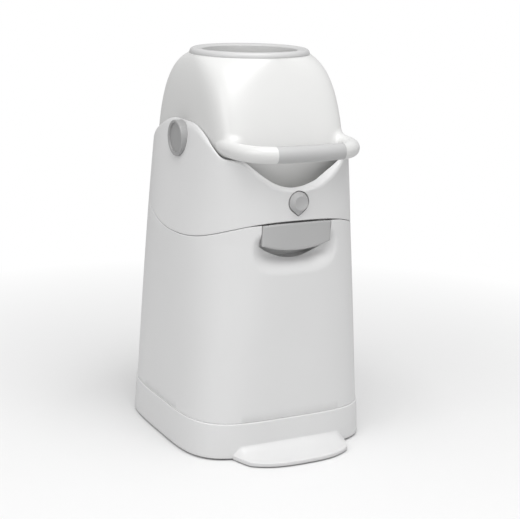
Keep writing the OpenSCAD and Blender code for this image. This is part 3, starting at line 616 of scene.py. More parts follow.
@dataclass
class BinBody:
    """The tapered bin with its finger scoop and latch recess."""

    housing: Housing
    floor_z: float = 57.5
    floor_t: float = 3.0
    rim_relief: float = 1.2
    recess_half_w: float = 58.0
    recess_back_y: float = -148.0
    recess_corner_z: float = 328.5
    recess_dip: float = 22.0
    recess_wall: float = 2.5
    pocket_half_w: float = 50.0
    scoop_half_w: float = 70.0
    scoop_low_z: float = 283.5
    scoop_mid_z: float = 330.0
    scoop_rise: float = 26.0
    scoop_depth: float = 21.0
    edge_r: float = 1.0
    hinge_y: float = 179.5
    hinge_z: float = 365.5
    knuckle_r: float = 5.5
    hinge_len: float = 124.0
    latch_z: float = 367.0
    screw_x: float = 92.0
    screw_y: float = 104.0

    def scoop(self, x: np.ndarray, z: np.ndarray) -> np.ndarray:
        """Depth of the finger scoop at a place on the front."""
        across = np.clip(np.abs(x) / self.scoop_half_w, 0, 1)
        q = (1 - across**3.5) ** (1 / 3.5)
        low = self.scoop_mid_z - (self.scoop_mid_z - self.scoop_low_z) * q
        span = np.maximum(self.scoop_mid_z + self.scoop_rise * q - low, 1e-6)
        v = np.clip((z - low) / span, 0, 1)
        return self.scoop_depth * (1 - across**3) * smooth(v / 0.44) * (1 - smooth((v - 0.62) / 0.38))

    def ring(self, z: np.ndarray | float, inset: float) -> np.ndarray:
        """Points of the wall at height z with the finger scoop pressed in."""
        points = self.housing.ring(z, inset)
        front = points[:, 1] < 0
        points[:, 1] += np.where(front, self.scoop(points[:, 0], points[:, 2]), 0)
        return points

    def backing(self) -> bpy.types.Object:
        """Builds the closed box behind the latch, its front hollowed where the scoop runs into it."""
        side = self.recess_half_w + self.recess_wall
        low, high = self.recess_corner_z - self.recess_dip - self.recess_wall, self.latch_z - 8
        heights = np.linspace(low, high, 24)
        rows = []
        for x in np.linspace(-side, side, 49):
            face = self.housing.front_y(x, heights) + 1.5 + self.scoop(np.full(24, x), heights)
            back = np.full(24, self.recess_back_y + self.recess_wall)
            outline = np.column_stack([np.minimum(face, back - 1), heights])
            outline = np.concatenate([outline, np.column_stack([back, heights])[::-1]])
            rows.append(np.column_stack([np.full(len(outline), x), outline]))
        return loft("backing", [row[::-1] for row in rows])

    def recess(self) -> bpy.types.Object:
        """Builds the space behind the latch plate, its floor arched below the plate's lower edge."""
        xs = np.linspace(-self.recess_half_w, self.recess_half_w, 41)
        floor = self.recess_corner_z - self.recess_dip * (1 - (xs / self.recess_half_w) ** 2)
        outline = np.concatenate([np.column_stack([xs, floor]), [[xs[-1], 400.0], [xs[0], 400.0]]])
        rings = [np.column_stack([outline[:, 0], np.full(len(outline), y), outline[:, 1]]) for y in
                 (self.recess_back_y, -190.0)]
        return loft("recess", rings)

    def build(self, materials: dict[Slot, bpy.types.Material]) -> None:
        """Builds and dresses the bin."""
        shape = self.housing
        seam_plan = shape.ring(shape.seam_z)
        relief = self.rim_relief * (1 - smooth((np.abs(seam_plan[:, 0]) - self.recess_half_w) / 22))
        top = shape.seam() - shape.seam_gap / 2 - np.where(seam_plan[:, 1] < 0, relief, 0)
        low = self.floor_z + 1.0
        steps = np.concatenate([np.linspace(0, 0.6, 14)[:-1], np.linspace(0.6, 1, 54)])
        rings = [self.ring(self.floor_z, 0.8)]
        rings += [self.ring(lerp(low, top - self.edge_r, f), 0.0) for f in steps]
        for a in np.linspace(0, math.pi / 2, 5)[1:]:
            rings.append(self.ring(top - self.edge_r * (1 - math.sin(a)), self.edge_r * (1 - math.cos(a))))
        rings += [shape.ring(top, shape.flange_w), shape.ring(top - 4, shape.flange_w)]
        inner_low = self.floor_z + self.floor_t
        rings += [self.ring(lerp(inner_low, top - 9, f), shape.wall) for f in steps[::-1]]
        piece = loft("bin_body", rings)
        back = self.recess_back_y
        rib_z = self.latch_z - 24
        steps = [
            ("UNION", self.backing()),
            ("UNION", box((-self.pocket_half_w - 3, back - 1, 303), (self.pocket_half_w + 3, back + 22, 337))),
            ("DIFFERENCE", self.recess()),
            ("DIFFERENCE", box((-self.pocket_half_w, back - 0.5, 306), (self.pocket_half_w, back + 19.5, 334))),
            ("UNION", box((-20, back - 4.5, rib_z), (20, back + 1, rib_z + 5))),
        ]
        for x in (-self.hinge_len / 2, -12.0, self.hinge_len / 2 - 24):
            arm = box((x, 167.0, self.hinge_z - 18), (x + 24, self.hinge_y + 1, self.hinge_z - 3))
            knuckle = rod((x, self.hinge_y, self.hinge_z), Turn.ABOUT_X, 24, self.knuckle_r)
            steps += [("UNION", arm), ("UNION", knuckle)]
        for x in (-self.screw_x, self.screw_x):
            for y in (-self.screw_y, self.screw_y):
                steps.append(("UNION", rod((x, y, self.floor_z), Turn.ABOUT_Z, 14, 6.0)))
                steps.append(("DIFFERENCE", rod((x, y, self.floor_z - 1), Turn.ABOUT_Z, 13, 2.05)))
        bore = rod((-self.hinge_len, self.hinge_y, self.hinge_z), Turn.ABOUT_X, 2 * self.hinge_len, 2.55)
        combine(piece, steps + [("DIFFERENCE", bore)])
        shade(piece, 40)
        settle(piece, Body.BIN, Slot.SHELL, materials, "bin_body")


@dataclass
class Head:
    """The hinged head with its ears, rolled rim, finger notch and mounts."""

    housing: Housing
    ear_rise: float = 27.0
    ear_flat: float = 30.0
    ear_foot: float = 128.0
    ear_power: float = 1.85
    rim_drop: float = 14.0
    notch_drop: float = 58.0
    notch_half_w: float = 84.0
    roll_w: float = 5.0
    notch_roll_w: float = 15.0
    ear_roll_w: float = 2.0
    ear_top_roll_w: float = 5.0
    roll_h: float = 5.0
    ear_roll_h: float = 9.5
    sweep_r: float = 161.0
    lip_half_w: float = 108.4
    lip_square: float = 9.0
    lip_t: float = 3.0
    edge_r: float = 1.0
    hub_seat_x: float = 112.4
    hub_plate_x: float = 109.5
    hub_r: float = 27.4
    clearance: float = 0.3
    boss_x: float = 117.4
    boss_r: float = 13.0
    bore_r: float = 11.05
    button_z: float = 393.0
    latch_z: float = 367.0
    latch_y: float = -155.0
    latch_span: float = 47.0
    guide_y: float = -163.0
    hinge_y: float = 179.5
    hinge_z: float = 365.5
    knuckle_r: float = 5.5
    hinge_len: float = 124.0
    cradle_boss_y: float = 62.0

    def rim(self) -> np.ndarray:
        """Height of the rim at each column, with its corners eased."""
        shape = self.housing
        low = shape.axis_z - self.rim_drop
        high = shape.axis_z + self.ear_rise
        x, y, _ = shape.ring(low).T
        fall = np.clip((np.abs(y) - self.ear_flat) / (self.ear_foot - self.ear_flat), 0, 1) ** self.ear_power
        slope = lerp(high, low, fall)
        notch = lerp(shape.axis_z - self.notch_drop, low, np.minimum(1, np.abs(x) / self.notch_half_w) ** 2)
        rim = np.where((y < 0) & (np.abs(x) < self.notch_half_w), notch, slope)
        weights = np.array([1, 4, 6, 4, 1]) / 16
        for _ in range(3):
            rim = sum(w * np.roll(rim, k - 2) for k, w in enumerate(weights))
        return rim

    def skin(self) -> bpy.types.Object:
        """Builds the shell with its rolled rim, inner lip, flange and gasket groove."""
        shape = self.housing
        rim = self.rim()
        low_z, high_z = shape.axis_z - self.rim_drop, shape.axis_z + self.ear_rise
        x, y, _ = shape.ring(low_z).T
        ear = np.clip((rim - low_z) / (high_z - low_z), 0, 1)
        roll_w = lerp(self.ear_top_roll_w, self.ear_roll_w, smooth((np.abs(y) - 85) / 27))
        roll_w = lerp(roll_w, self.roll_w, smooth((np.abs(y) - 138) / 20))
        dip = np.clip((low_z - rim) / (self.notch_drop - self.rim_drop), 0, 1)
        roll_w = lerp(roll_w, self.notch_roll_w, smooth(dip * 1.5))
        roll_h = lerp(self.roll_h, self.ear_roll_h, np.maximum(ear, smooth(dip * 2) * (1 - smooth((dip - 0.75) * 4))))
        bottom = shape.seam() + shape.seam_gap / 2
        rings = [shape.ring(bottom, self.edge_r)]
        for a in np.linspace(0, math.pi / 2, 5)[-2::-1]:
            rings.append(shape.ring(bottom + self.edge_r * (1 - math.cos(a)), self.edge_r * (1 - math.sin(a))))
        rings = rings[:1] + rings[:0:-1]
        for f in np.linspace(0, 1, 36):
            rings.append(shape.ring(lerp(bottom + self.edge_r, rim - roll_h, f)))
        for a in np.linspace(0, math.pi / 2, 14)[1:]:
            rings.append(shape.ring(rim - roll_h * (1 - math.sin(a)), roll_w * (1 - math.cos(a))))
        reach = np.sqrt(self.sweep_r**2 - (rim - shape.axis_z) ** 2)
        w, d, n = shape.sizes(rim)
        r = np.minimum(
            plan_radius(self.lip_half_w, reach, self.lip_square, shape.angles),
            plan_radius(w - roll_w, d - roll_w, n, shape.angles),
        )
        lip = np.column_stack([r * np.cos(shape.angles), r * np.sin(shape.angles)])
        rings += [np.column_stack([lip, rim - drop]) for drop in (1.0, self.lip_t)]
        inner_low = bottom + 8
        inner_high = rim - roll_h - self.lip_t
        for f in np.linspace(1, 0, 8):
            rings.append(shape.ring(lerp(inner_low, inner_high, f), shape.wall))
        rings += [shape.ring(bottom + 4, shape.flange_w), shape.ring(bottom, shape.flange_w)]
        rings += [shape.ring(bottom, 6.4), shape.ring(bottom + 2, 6.4), shape.ring(bottom + 2, 3.0)]
        rings.append(shape.ring(bottom, 3.0))
        return loft("head_shell", rings, joined=True)

    def hub_mount(self, side: int) -> bpy.types.Object:
        """Builds the thickened seat of a hub cap, trimmed to the ear's own surface."""
        shape = self.housing
        top = shape.axis_z + self.ear_rise - self.ear_roll_h
        low = top - 60
        wall = [float(shape.sizes(np.array(z))[0]) - 0.6 for z in (low, top)]
        outline = [(self.hub_plate_x, low), (wall[0], low), (wall[1], top)]
        outline += [(self.hub_plate_x + 0.4, top + self.ear_roll_h - 1), (self.hub_plate_x, top + self.ear_roll_h - 1)]
        rings = [np.array([(side * x, y, z) for x, z in outline]) for y in (-40.0, 40.0)]
        mount = loft("mount", rings if side < 0 else rings[::-1])
        start = self.hub_plate_x if side > 0 else -self.hub_plate_x - 14
        apply_boolean(mount, rod((start, 0, shape.axis_z), Turn.ABOUT_X, 14, self.hub_r + 2, 96), "INTERSECT")
        return mount

    def mounts(self) -> list[tuple[str, bpy.types.Object]]:
        """Lists the solids joined to the shell and cut from it, in order."""
        axis_z = self.housing.axis_z
        steps = []
        for side in (-1, 1):
            steps.append(("UNION", self.hub_mount(side)))
            start = self.hub_seat_x if side > 0 else -self.hub_seat_x - 20
            seat = rod((start, 0, axis_z), Turn.ABOUT_X, 20, self.hub_r + self.clearance, 96)
            start = self.hub_plate_x if side > 0 else -self.boss_x
            boss = rod((start, 0, axis_z), Turn.ABOUT_X, self.boss_x - self.hub_plate_x, self.boss_r)
            steps += [("DIFFERENCE", seat), ("UNION", boss)]
            x = min(side * 12.4, side * (self.hinge_len / 2 - 24.4))
            width = self.hinge_len / 2 - 36.8
            arm = box((x, 167.5, self.hinge_z + 2), (x + width, self.hinge_y + 1, self.hinge_z + 16))
            steps += [("UNION", arm)]
            steps += [("UNION", rod((x, self.hinge_y, self.hinge_z), Turn.ABOUT_X, width, self.knuckle_r))]
            x = min(side * self.latch_span, side * (self.latch_span - 6))
            lug = box((x, -168.5, self.latch_z + 0.5), (x + 6, self.latch_y + 4.5, self.latch_z + 15))
            steps += [("UNION", lug), ("UNION", rod((x, self.latch_y, self.latch_z), Turn.ABOUT_X, 6, 4.5))]
            x = min(side * 20, side * 22)
            steps.append(("UNION", box((x, -169.5, self.latch_z + 8), (x + 2, self.guide_y + 1, 404))))
        steps.append(("UNION", box((-22, self.guide_y, self.latch_z + 8), (22, self.guide_y + 3, 404))))
        low = axis_z - self.notch_drop - 7
        boss_x = float(self.housing.sizes(np.array(low + 26))[0]) - self.housing.wall - 3.2
        for x in (-boss_x, boss_x):
            for y in (-self.cradle_boss_y, self.cradle_boss_y):
                steps.append(("UNION", rod((x, y, low), Turn.ABOUT_Z, 26, 4.0)))
                steps.append(("DIFFERENCE", rod((x, y, low - 1), Turn.ABOUT_Z, 15, 2.05)))
        steps.append(("DIFFERENCE", rod((-122, 0, axis_z), Turn.ABOUT_X, 244, self.bore_r)))
        steps.append(("DIFFERENCE", rod((-124, self.hinge_y, self.hinge_z), Turn.ABOUT_X, 248, 2.55)))
        steps.append(("DIFFERENCE", rod((-48, self.latch_y, self.latch_z), Turn.ABOUT_X, 96, 2.05)))
        hole = [drop_ring(y, 17.0, 21.3, self.button_z) for y in (-190.0, self.guide_y - 0.25)]
        steps.append(("DIFFERENCE", loft("hole", hole)))
        steps.append(("DIFFERENCE", rod((0, self.guide_y - 2, self.button_z), Turn.ABOUT_Y, 6, 6.05)))
        return steps

    def build(self, materials: dict[Slot, bpy.types.Material]) -> None:
        """Builds and dresses the head."""
        piece = self.skin()
        combine(piece, self.mounts())
        shade(piece, 40)
        settle(piece, Body.HEAD, Slot.SHELL, materials, "head_shell")


def drop_ring(y: float, radius: float, tip: float, centre_z: float, segments: int = 128) -> np.ndarray:
    """Points of an upright teardrop that points down: a circle with tangents to its tip."""
    angles = np.linspace(-math.pi, math.pi, segments, endpoint=False)
    spread = math.acos(radius / tip) if tip > radius else 0.0
    r = radius / np.cos(np.clip(spread - np.abs(angles), 0, None))
    return np.column_stack([-r * np.sin(angles), np.full(segments, y), centre_z - r * np.cos(angles)])


@dataclass
class FrontControls:
    """The push button and the latch lever."""

    housing: Housing
    button_z: float = 393.0
    front_y: float = -171.0
    button_r: float = 15.5
    button_tip: float = 20.2
    face_r: float = 11.0
    dish_r: float = 10.0
    dish_depth: float = 1.6
    latch_half_w: float = 57.0
    corner_z: float = 330.0
    dip: float = 9.5
    proud: float = 1.5
    plate_t: float = 4.5
    bevel_w: float = 2.6
    bevel_d: float = 1.3
    pivot_y: float = -155.0
    pivot_z: float = 367.0
    back_y: float = -148.0

    def button(self) -> bpy.types.Object:
        """Builds the hollow cone with its teardrop base, dished face and guide stem."""
        front, out = self.front_y, self.front_y - 9.0
        shape = [(front + 3, 15.5, 20.2), (front, 15.5, 20.2), (front - 0.7, 15.3, 19.8)]
        shape += [(front - 1.2, 14.9, 17.6), (front - 2, 14.5, 15.4), (front - 3, 14.0, 14.1), (front - 4.2, 13.4, 13.4)]
        shape += [(front - 5.5, 12.7, 12.7), (front - 7, 11.9, 11.9), (out + 0.9, 11.4, 11.4)]
        shape += [(out + 0.4, 11.2, 11.2), (out + 0.1, 10.8, 10.8), (out, 10.4, 10.4)]
        for f in np.linspace(1, 0.05, 10):
            shape.append((out + self.dish_depth * (1 - f * f), self.dish_r * f, self.dish_r * f))
        piece = loft("button", [drop_ring(y, r, tip, self.button_z) for y, r, tip in shape])
        back = front + 14
        steps = [
            ("DIFFERENCE", rod((0, out + 4, self.button_z), Turn.ABOUT_Y, 12, 11.0)),
            ("UNION", rod((0, out + 3.5, self.button_z), Turn.ABOUT_Y, back - 3 - out - 3.5, 6.0)),
            ("UNION", rod((0, back - 3.01, self.button_z), Turn.ABOUT_Y, 3.01, 3.0)),
        ]
        combine(piece, steps)
        return piece

    def plate(self) -> bpy.types.Object:
        """Builds the latch's plate, its edges chamfered on all sides."""
        shape = self.housing
        half = self.latch_half_w
        edge = np.array([0, 0.35, 0.8, 1.3, 1.8, 2.3, 2.8])
        xs = np.concatenate([-half + edge, np.linspace(-half + 4, half - 4, 53), (half - edge)[::-1]])
        rows = []
        for x in xs:
            low = self.corner_z - self.dip * (1 - (x / half) ** 2)
            crest = float(shape.front_y(x, shape.seam_z + shape.arch_rise))
            high = float(shape.seam_at(np.array(crest))) - 1.4
            low, high = lerp(low, high, 0.02), lerp(low, high, 0.98)
            z = np.concatenate([low + edge, np.linspace(low + 4, high - 4, 9), (high - edge)[::-1]])
            inside = np.minimum(np.minimum(z - low, high - z), half - abs(x))
            cut = self.bevel_d * (1 - np.clip(inside / self.bevel_w, 0, 1)) ** 1.3
            face = shape.front_y(x, z) - self.proud + cut
            back_z = np.minimum(z, high - 0.9)
            back = shape.front_y(x, back_z) - self.proud + self.plate_t
            front_points = np.column_stack([np.full(z.size, x), face, z])
            back_points = np.column_stack([np.full(z.size, x), back, back_z])[::-1]
            rows.append(np.concatenate([front_points, back_points])[::-1])
        return loft("latch_lever", rows)

    def latch(self) -> bpy.types.Object:
        """Builds the latch lever with its hook, lugs, sleeve and arm."""
        y, z = self.pivot_y, self.pivot_z
        piece = self.plate()
        hook_z = z - 26
        steps = [
            ("UNION", box((-18, -170, hook_z - 4), (18, self.back_y - 1.5, hook_z))),
            ("UNION", box((-18, self.back_y - 4.3, hook_z - 0.01), (18, self.back_y - 1.5, z - 24.4))),
        ]
        for x in (-40.0, 30.0):
            steps.append(("UNION", box((x, -166, z - 22), (x + 10, y + 2, z - 10))))
            steps.append(("UNION", box((x, y - 4.5, z - 15), (x + 10, y + 4.5, z))))
            steps.append(("UNION", rod((x, y, z), Turn.ABOUT_X, 10, 4.5)))
        steps.append(("UNION", rod((-8, y, z), Turn.ABOUT_X, 16, 4.5)))
        steps.append(("UNION", rod((-39, y, z), Turn.ABOUT_X, 78, 3.2)))
        steps.append(("UNION", box((-8, y - 1.6, z), (8, y + 1.4, self.button_z + 5))))
        steps.append(("DIFFERENCE", rod((-60, y, z), Turn.ABOUT_X, 120, 2.05)))
        combine(piece, steps)
        return piece

    def build(self, materials: dict[Slot, bpy.types.Material]) -> None:
        """Builds and dresses the button and the latch."""
        button, latch = self.button(), self.latch()
        shade(button, 40)
        shade(latch, 30)
        settle(button, Body.BUTTON, Slot.GREY, materials, "button")
        settle(latch, Body.LATCH, Slot.GREY, materials, "latch_lever")


@dataclass
class HubCaps:
    """The two dished caps with a raised rim that close the pivots."""

    axis_z: float = 470.0
    radius: float = 27.4
    face_x: float = 125.2
    back_x: float = 112.45

    def build(self, materials: dict[Slot, bpy.types.Material]) -> None:
        """Builds and dresses both caps."""
        r, face = self.radius, self.face_x
        profile = [(self.back_x, r - 2.5), (self.back_x, r)]
        profile += [(face - 1.5 * (1 - math.sin(a)), r - 1.5 * (1 - math.cos(a))) for a in np.linspace(0, 1.57, 9)]
        for a in np.linspace(0, 1.57, 9):
            profile.append((face - 3.2 * (1 - math.cos(a)), r - 3.4 - 1.6 * math.sin(a)))
        profile += [(face - 3.2, 0.3), (face - 5.6, 0.3), (face - 5.6, r - 2.5)]
        for side, name in ((-1, "left_hub_cap"), (1, "right_hub_cap")):
            outline = [(side * along, radius) for along, radius in profile]
            piece = turned(name, outline[:: -side], Turn.ABOUT_X, (0, 0, self.axis_z))
            shade(piece, 40)
            settle(piece, Body.HEAD, Slot.HUB, materials, name)


@dataclass
class Drum:
    """The turning drum: two mirrored shells with their handle arms, rim rings and the soft grip.

    The shells come from one signed field, in which the dome and the handle's arms flow into each other.
    Heights in the field are measured from the drum's axis.
    """

    axis_z: float = 470.0
    top: float = 125.0
    reach: float = 133.5
    half_w: float = 106.7
    half_d: float = 140.0
    square: float = 6.8
    end_r: float = 94.2
    wall: float = 3.0
    tube_r: float = 80.2
    handle_half_w: float = 94.5
    handle_root_y: float = 108.0
    handle_reach: float = 204.5
    handle_square: float = 3.3
    grip_half_w: float = 55.0
    grip_t: float = 11.0
    grip_h: float = 12.0
    root_h: float = 14.5
    blend: float = 15.0
    split: float = 0.03
    step: float = 2.0
    ring_r: float = 92.6
    mouth_r: float = 73.5

    def plan(self, h: np.ndarray | float, inset: float = 0.0) -> tuple[np.ndarray, np.ndarray, np.ndarray]:
        """Half-width, half-depth and squareness of the dome at a distance from the axis."""
        u = np.clip(np.abs(h) / self.top, 0, 1)
        w = lerp(self.end_r, self.half_w, (1 - u**4.25) ** (1 / 1.27))
        d = lerp(self.end_r, self.half_d, 1 - u**1.19)
        return w - inset, d - inset, lerp(2.0, self.square, 1 - u**2.37)

    def path(self) -> np.ndarray:
        """Points of the handle's path, evenly spaced, from the right root round to the left one."""
        s = np.linspace(0, math.pi, 1441)
        power = 2 / self.handle_square
        x = self.handle_half_w * np.sign(np.cos(s)) * np.abs(np.cos(s)) ** power
        y = -self.handle_root_y - (self.handle_reach - self.handle_root_y) * np.sin(s) ** power
        length = np.concatenate([[0.0], np.cumsum(np.hypot(np.diff(x), np.diff(y)))])
        even = np.linspace(0, length[-1], 700)
        return np.column_stack([np.interp(even, length, x), np.interp(even, length, y)])

    def field(self) -> tuple[np.ndarray, np.ndarray]:
        """Samples the joined form of dome and arms.

        Returns:
            The signed field in millimetres, and the place of its first sample.
        """
        xs = np.arange(-116.0, 117.0, self.step)
        ys = np.arange(-224.0, 149.0, self.step)
        hs = np.arange(-8.0, 135.0, self.step)
        x, y, h = np.meshgrid(xs, ys, hs, indexing="ij")
        dome = np.hypot(x, y) - plan_radius(*self.plan(h), np.arctan2(y, x))
        slope = np.gradient(dome, self.step)
        size = np.sqrt(sum(part**2 for part in slope)) + 1e-9
        dome = dome / size
        flat = np.stack([x[:, :, 0], y[:, :, 0]], axis=-1)
        gap = np.min([np.hypot(*(flat - spot).transpose(2, 0, 1)) for spot in self.path()], axis=0)[:, :, None]
        half_h = lerp(self.grip_h + 0.4, self.root_h, smooth((y + 142) / 30))
        half_t = self.grip_t + 0.4
        q = np.sqrt((gap / half_t) ** 2 + (h / half_h) ** 2) + 1e-9
        arm = (q - 1) * q / np.sqrt((gap / half_t**2) ** 2 + (h / half_h**2) ** 2 + 1e-12)
        arm_slope = np.gradient(arm, self.step)
        arm_size = np.sqrt(sum(part**2 for part in arm_slope)) + 1e-9
        alike = sum(a * b for a, b in zip(slope, arm_slope)) / (size * arm_size)
        reach = self.blend * np.clip((0.8 - alike) / 0.8, 0, 1) + 0.01
        near = np.clip(reach - np.abs(dome - arm), 0, None) / reach
        joined = np.minimum(dome, arm) - near**2 * reach / 4
        joined = np.maximum(joined, np.maximum(-4.3 - h, h - self.top - 4.3))
        return joined, np.array([xs[0], ys[0], hs[0]])

    def solid(self) -> tuple[np.ndarray, np.ndarray]:
        """Turns the field to points in millimetres and quads, drawn close to the true surface."""
        grid, start = self.field()
        points, faces = surface_net(grid)
        slope = np.stack(np.gradient(grid), axis=-1)
        for _ in range(2):
            value, lean = sample(grid, points), sample(slope, points)
            points = points - lean * (value / (np.sum(lean**2, axis=1) + 1e-9))[:, None]
        return points * self.step + start, faces

    def oval(self, place: int, path: np.ndarray, half_t: float, half_h: float, segments: int) -> np.ndarray:
        """Points of an oval round the handle's path."""
        ahead = path[min(place + 1, len(path) - 1)] - path[max(place - 1, 0)]
        ahead = ahead / np.hypot(*ahead)
        angles = np.linspace(0, 2 * math.pi, segments, endpoint=False)
        out = half_t * np.cos(angles)
        x, y = path[place][0] - ahead[1] * out, path[place][1] + ahead[0] * out
        return np.column_stack([x, y, half_h * np.sin(angles)])

    def span(self, path: np.ndarray, half_w: float, count: int) -> list[int]:
        """Indices of evenly spread path points between two distances from the middle plane."""
        inside = np.flatnonzero(np.abs(path[:, 0]) <= half_w)
        return [int(i) for i in np.linspace(inside[0], inside[-1], count)]

    def cutters(self, upper: bool) -> list[tuple[str, bpy.types.Object]]:
        """Lists the solids that shape one half, in the drum's own frame with its mouth up."""
        under = self.top - self.wall
        angles = np.linspace(0, 2 * math.pi, 240, endpoint=False)
        void = []
        for h in (-1, 15, 30, 45, 60, 72, 84, 94, 102, 109, 115, under):
            r = plan_radius(*self.plan(h, self.wall), angles)
            void.append(np.column_stack([r * np.cos(angles), r * np.sin(angles), np.full(240, float(h))]))
        gap = self.grip_half_w
        path = self.path()
        core = [self.oval(i, path, self.grip_t - 3.5, self.grip_h - 3.5, 48) for i in self.span(path, gap + 3, 60)]
        steps = [
            ("DIFFERENCE", loft("void", void)),
            ("DIFFERENCE", rod((0, 0, -10), Turn.ABOUT_Z, 160, self.tube_r, 192)),
            ("DIFFERENCE", box((-gap, -230, -30), (gap, -165, 40))),
            ("UNION", loft("core", core)),
        ]
        place = (80.0 + self.ring_r) / 2 + 0.7
        for x in (-1, 1):
            for y in (-1, 1):
                spot = (x * place * math.sqrt(0.5), y * place * math.sqrt(0.5), -1.0)
                steps.append(("UNION", rod(spot, Turn.ABOUT_Z, under + 1.01, 6.0)))
                steps.append(("DIFFERENCE", rod(spot, Turn.ABOUT_Z, 20 if upper else 30, 2.05 if upper else 2.3)))
                if not upper:
                    steps.append(("DIFFERENCE", rod((*spot[:2], 20.0), Turn.ABOUT_Z, 120, 4.4)))
            start = 94.0 if x > 0 else -105.0
            steps.append(("UNION", rod((start, 0, 0), Turn.ABOUT_X, 11, 17.0)))
            start = 97.0 if x > 0 else -101.1
            steps.append(("DIFFERENCE", rod((start, 0, 0), Turn.ABOUT_X, 4.1, 14.02)))
        steps.append(("DIFFERENCE", rod((-120, 0, 0), Turn.ABOUT_X, 240, 8.02)))
        steps.append(("DIFFERENCE", box((-130, -240, -40), (130, 160, self.split))))
        steps.append(("DIFFERENCE", box((-130, -240, self.top), (130, 160, self.top + 40))))
        return steps

    def shells(self, materials: dict[Slot, bpy.types.Material]) -> None:
        """Builds and dresses both shells."""
        points, faces = self.solid()
        for name, upper in (("upper_drum_shell", True), ("lower_drum_shell", False)):
            piece = make_object(name, points, faces.tolist())
            combine(piece, self.cutters(upper))
            if not upper:
                piece.data.transform(Matrix.Diagonal((1, 1, -1, 1)))
                piece.data.flip_normals()
            piece.data.transform(Matrix.Translation((0, 0, self.axis_z * MM)))
            shade(piece, 40)
            settle(piece, Body.DRUM, Slot.DRUM, materials, name)

    def rings(self, materials: dict[Slot, bpy.types.Material]) -> None:
        """Builds and dresses the rim rings."""
        seat, top, crest = self.top, self.reach, self.ring_r - 6.5
        profile = [(seat - 5, self.mouth_r), (seat - 5, 77.7), (seat, 77.7), (seat, self.ring_r - 0.5)]
        for a in np.linspace(0, math.pi / 2, 15):
            profile.append((top - 7 * (1 - math.sin(a)), crest + 6.5 * math.cos(a)))
        for a in np.linspace(0, math.pi / 2, 15)[1:]:
            profile.append((top - 3.5 * (1 - math.cos(a)), self.mouth_r + (crest - self.mouth_r) * (1 - math.sin(a))))
        # The rings get the grey plastic painted lighter, as painted light on their crests.
        material = RIM_PAINTED_LIGHT_FINISH.build()
        for name, up in (("upper_rim_ring", 1), ("lower_rim_ring", -1)):
            outline = [(up * along, radius) for along, radius in profile]
            piece = turned(name, outline[::-up], Turn.ABOUT_Z, (0, 0, self.axis_z), 256)
            shade(piece, 40)
            settle(piece, Body.DRUM, Slot.GREY, materials, name)
            piece.data.materials[0] = material

    def grip(self, materials: dict[Slot, bpy.types.Material]) -> None:
        """Builds and dresses the soft sleeve on the handle's middle."""
        path = self.path()
        places = self.span(path, self.grip_half_w - 0.3, 70)
        outer = [self.oval(i, path, self.grip_t, self.grip_h, 64) for i in places]
        for end, place in ((0, places[0]), (-1, places[-1])):
            outer[end] = self.oval(place, path, self.grip_t - 0.4, self.grip_h - 0.4, 64)
        inner = [self.oval(i, path, self.grip_t - 3.4, self.grip_h - 3.4, 64) for i in places]
        piece = loft("handle_grip", inner + outer[::-1], joined=True)
        piece.data.transform(Matrix.Translation((0, 0, self.axis_z * MM)))
        shade(piece, 40)
        settle(piece, Body.DRUM, Slot.GRIP, materials, "handle_grip")

    def build(self, materials: dict[Slot, bpy.types.Material]) -> None:
        """Builds and dresses the whole drum."""
        self.shells(materials)
        self.rings(materials)
        self.grip(materials)


